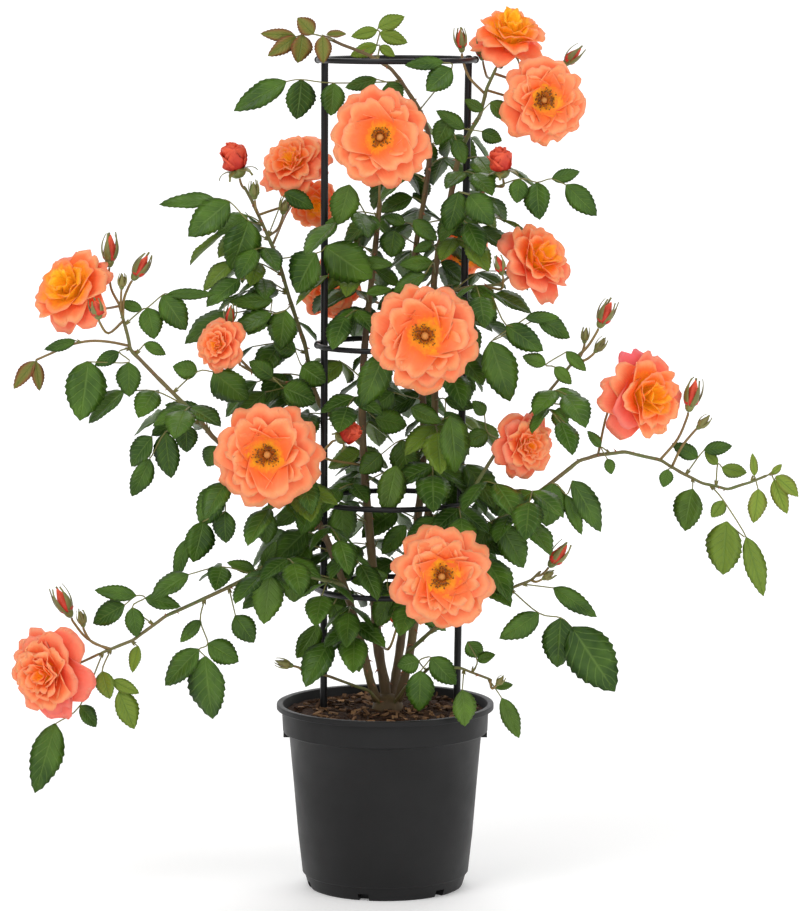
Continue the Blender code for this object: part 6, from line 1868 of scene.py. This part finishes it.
class ROSE_OT_buds(bpy.types.Operator):
    """Make the coloured buds"""

    bl_idname = "rose.buds"
    bl_label = "Buds"

    def execute(self, context):
        """A folded pointed body, or wrapped petals when it is opening, with hip and sepals."""
        red = one_paint("bud_red", bud_paint)
        green = one_paint("stalk_green", green_paint)
        for number, (name, bud) in enumerate(BUDS.items()):
            chance = np.random.default_rng(SEED + 20 + number)
            mould = Mould()
            add_bud_shape(mould, bud, 1 if name in GREEN_BUDS else 0, 1, chance, 0.1, "open" in name)
            mould.piece(name + "_petals", [red, green], "bud_red", [name])
        return {"FINISHED"}


class ROSE_OT_stage(bpy.types.Operator):
    """Make the floor, the lights and the camera"""

    bl_idname = "rose.stage"
    bl_label = "Stage"

    def execute(self, context):
        """A pale sheet with a painted glow, weaker near the pot, that lies flat and curves up behind, soft
        lights, and the picture's camera.
        """
        u = np.linspace(-FLOOR_HALF, FLOOR_HALF, 3)
        bend = np.radians(np.linspace(0, 90, 13))
        sweep = SWEEP_RADIUS * np.stack([np.sin(bend), 1 - np.cos(bend)], -1) + (SWEEP_START, 0)
        wall = (SWEEP_START + SWEEP_RADIUS, SWEEP_TOP)
        back = np.concatenate([[(FLOOR_FRONT, 0.0)], sweep, [wall]])
        points = np.stack([u[None] + 0 * back[:, :1], back[:, :1] + 0 * u, back[:, 1:] + 0 * u], -1)
        mesh = bpy.data.meshes.new("floor")
        mesh.from_pydata(points.reshape(-1, 3).tolist(), [], grid_faces(len(back), 3).tolist())
        mesh.shade_smooth()
        floor = bpy.data.objects.new("floor", mesh)
        context.scene.collection.objects.link(floor)
        paint = Paint("studio_floor", 0.9, Specular_IOR_Level=0.1)
        tint = colours().floor
        darker = tuple(channel * 0.985 for channel in tint)
        paint.feed("Base Color", paint.mix(paint.span(paint.noise(2.0), 0.3, 0.7), tint, darker))
        # painted glow: the floor gives off light of its own, weaker near the pot so a shadow shows there
        # and stronger far off
        paint.shader.inputs["Emission Color"].default_value = (1.0, 1.0, 1.0, 1.0)
        place = paint.node("ShaderNodeTexCoord").outputs["Object"]
        reach = paint.node("ShaderNodeVectorMath", place, operation="LENGTH").outputs["Value"]
        paint.feed("Emission Strength", paint.span(reach, *FLOOR_PAINTED_GLOW_REACH, *FLOOR_PAINTED_GLOW))
        mesh.materials.append(paint.material)
        for name, (place, size, power) in LAMPS.items():
            self.add_lamp(name, place, size, power)
        world = bpy.data.worlds.new("studio")
        world.use_nodes = True
        background = world.node_tree.nodes["Background"]
        background.inputs[0].default_value = (1.0, 1.0, 1.0, 1.0)
        background.inputs[1].default_value = WORLD_LIGHT
        context.scene.world = world
        context.scene.view_settings.view_transform = "Standard"
        camera = bpy.data.cameras.new("camera")
        camera.sensor_width = SENSOR
        camera.lens = FOCAL_PIXELS / PICTURE_HEIGHT * SENSOR
        eye = bpy.data.objects.new("camera", camera)
        context.scene.collection.objects.link(eye)
        eye.location = EYE
        eye.rotation_euler = (math.pi / 2 - EYE_PITCH, 0, 0)
        context.scene.camera = eye
        return {"FINISHED"}

    def add_lamp(self, name, place, size, power):
        """A square soft lamp that is aimed at the plant's middle."""
        lamp = bpy.data.lights.new(name, "AREA")
        lamp.size = size
        lamp.energy = power
        item = bpy.data.objects.new(name, lamp)
        bpy.context.scene.collection.objects.link(item)
        item.location = place
        item.rotation_euler = (LAMP_AIM - Vector(place)).to_track_quat("-Z", "Y").to_euler()


class ROSE_PT_panel(bpy.types.Panel):
    """The rose's parts, sizes and colours"""

    bl_label = "Climbing rose"
    bl_idname = "ROSE_PT_panel"
    bl_space_type = "VIEW_3D"
    bl_region_type = "UI"
    bl_category = "Rose"

    def draw(self, context):
        """List the operators and the values they use."""
        for part in PARTS:
            self.layout.operator(part.bl_idname)
        for group in (context.scene.rose_sizes, context.scene.rose_colours):
            for name in group.__annotations__:
                self.layout.prop(group, name)


PARTS = (ROSE_OT_pot, ROSE_OT_soil, ROSE_OT_trellis, ROSE_OT_stems, ROSE_OT_leaves, ROSE_OT_blooms,
         ROSE_OT_stamens, ROSE_OT_buds, ROSE_OT_stage)
CLASSES = (RoseSizes, RoseColours, *PARTS, ROSE_PT_panel)


def register():
    """Register the classes and hang the settings on the scene."""
    for item in CLASSES:
        bpy.utils.register_class(item)
    bpy.types.Scene.rose_sizes = PointerProperty(type=RoseSizes)
    bpy.types.Scene.rose_colours = PointerProperty(type=RoseColours)


def unregister():
    """Take the settings and the classes away."""
    del bpy.types.Scene.rose_colours
    del bpy.types.Scene.rose_sizes
    for item in reversed(CLASSES):
        bpy.utils.unregister_class(item)


def main():
    """Make every part."""
    register()
    for part in PARTS:
        group, name = part.bl_idname.split(".")
        getattr(getattr(bpy.ops, group), name)()


if __name__ == "__main__":
    main()
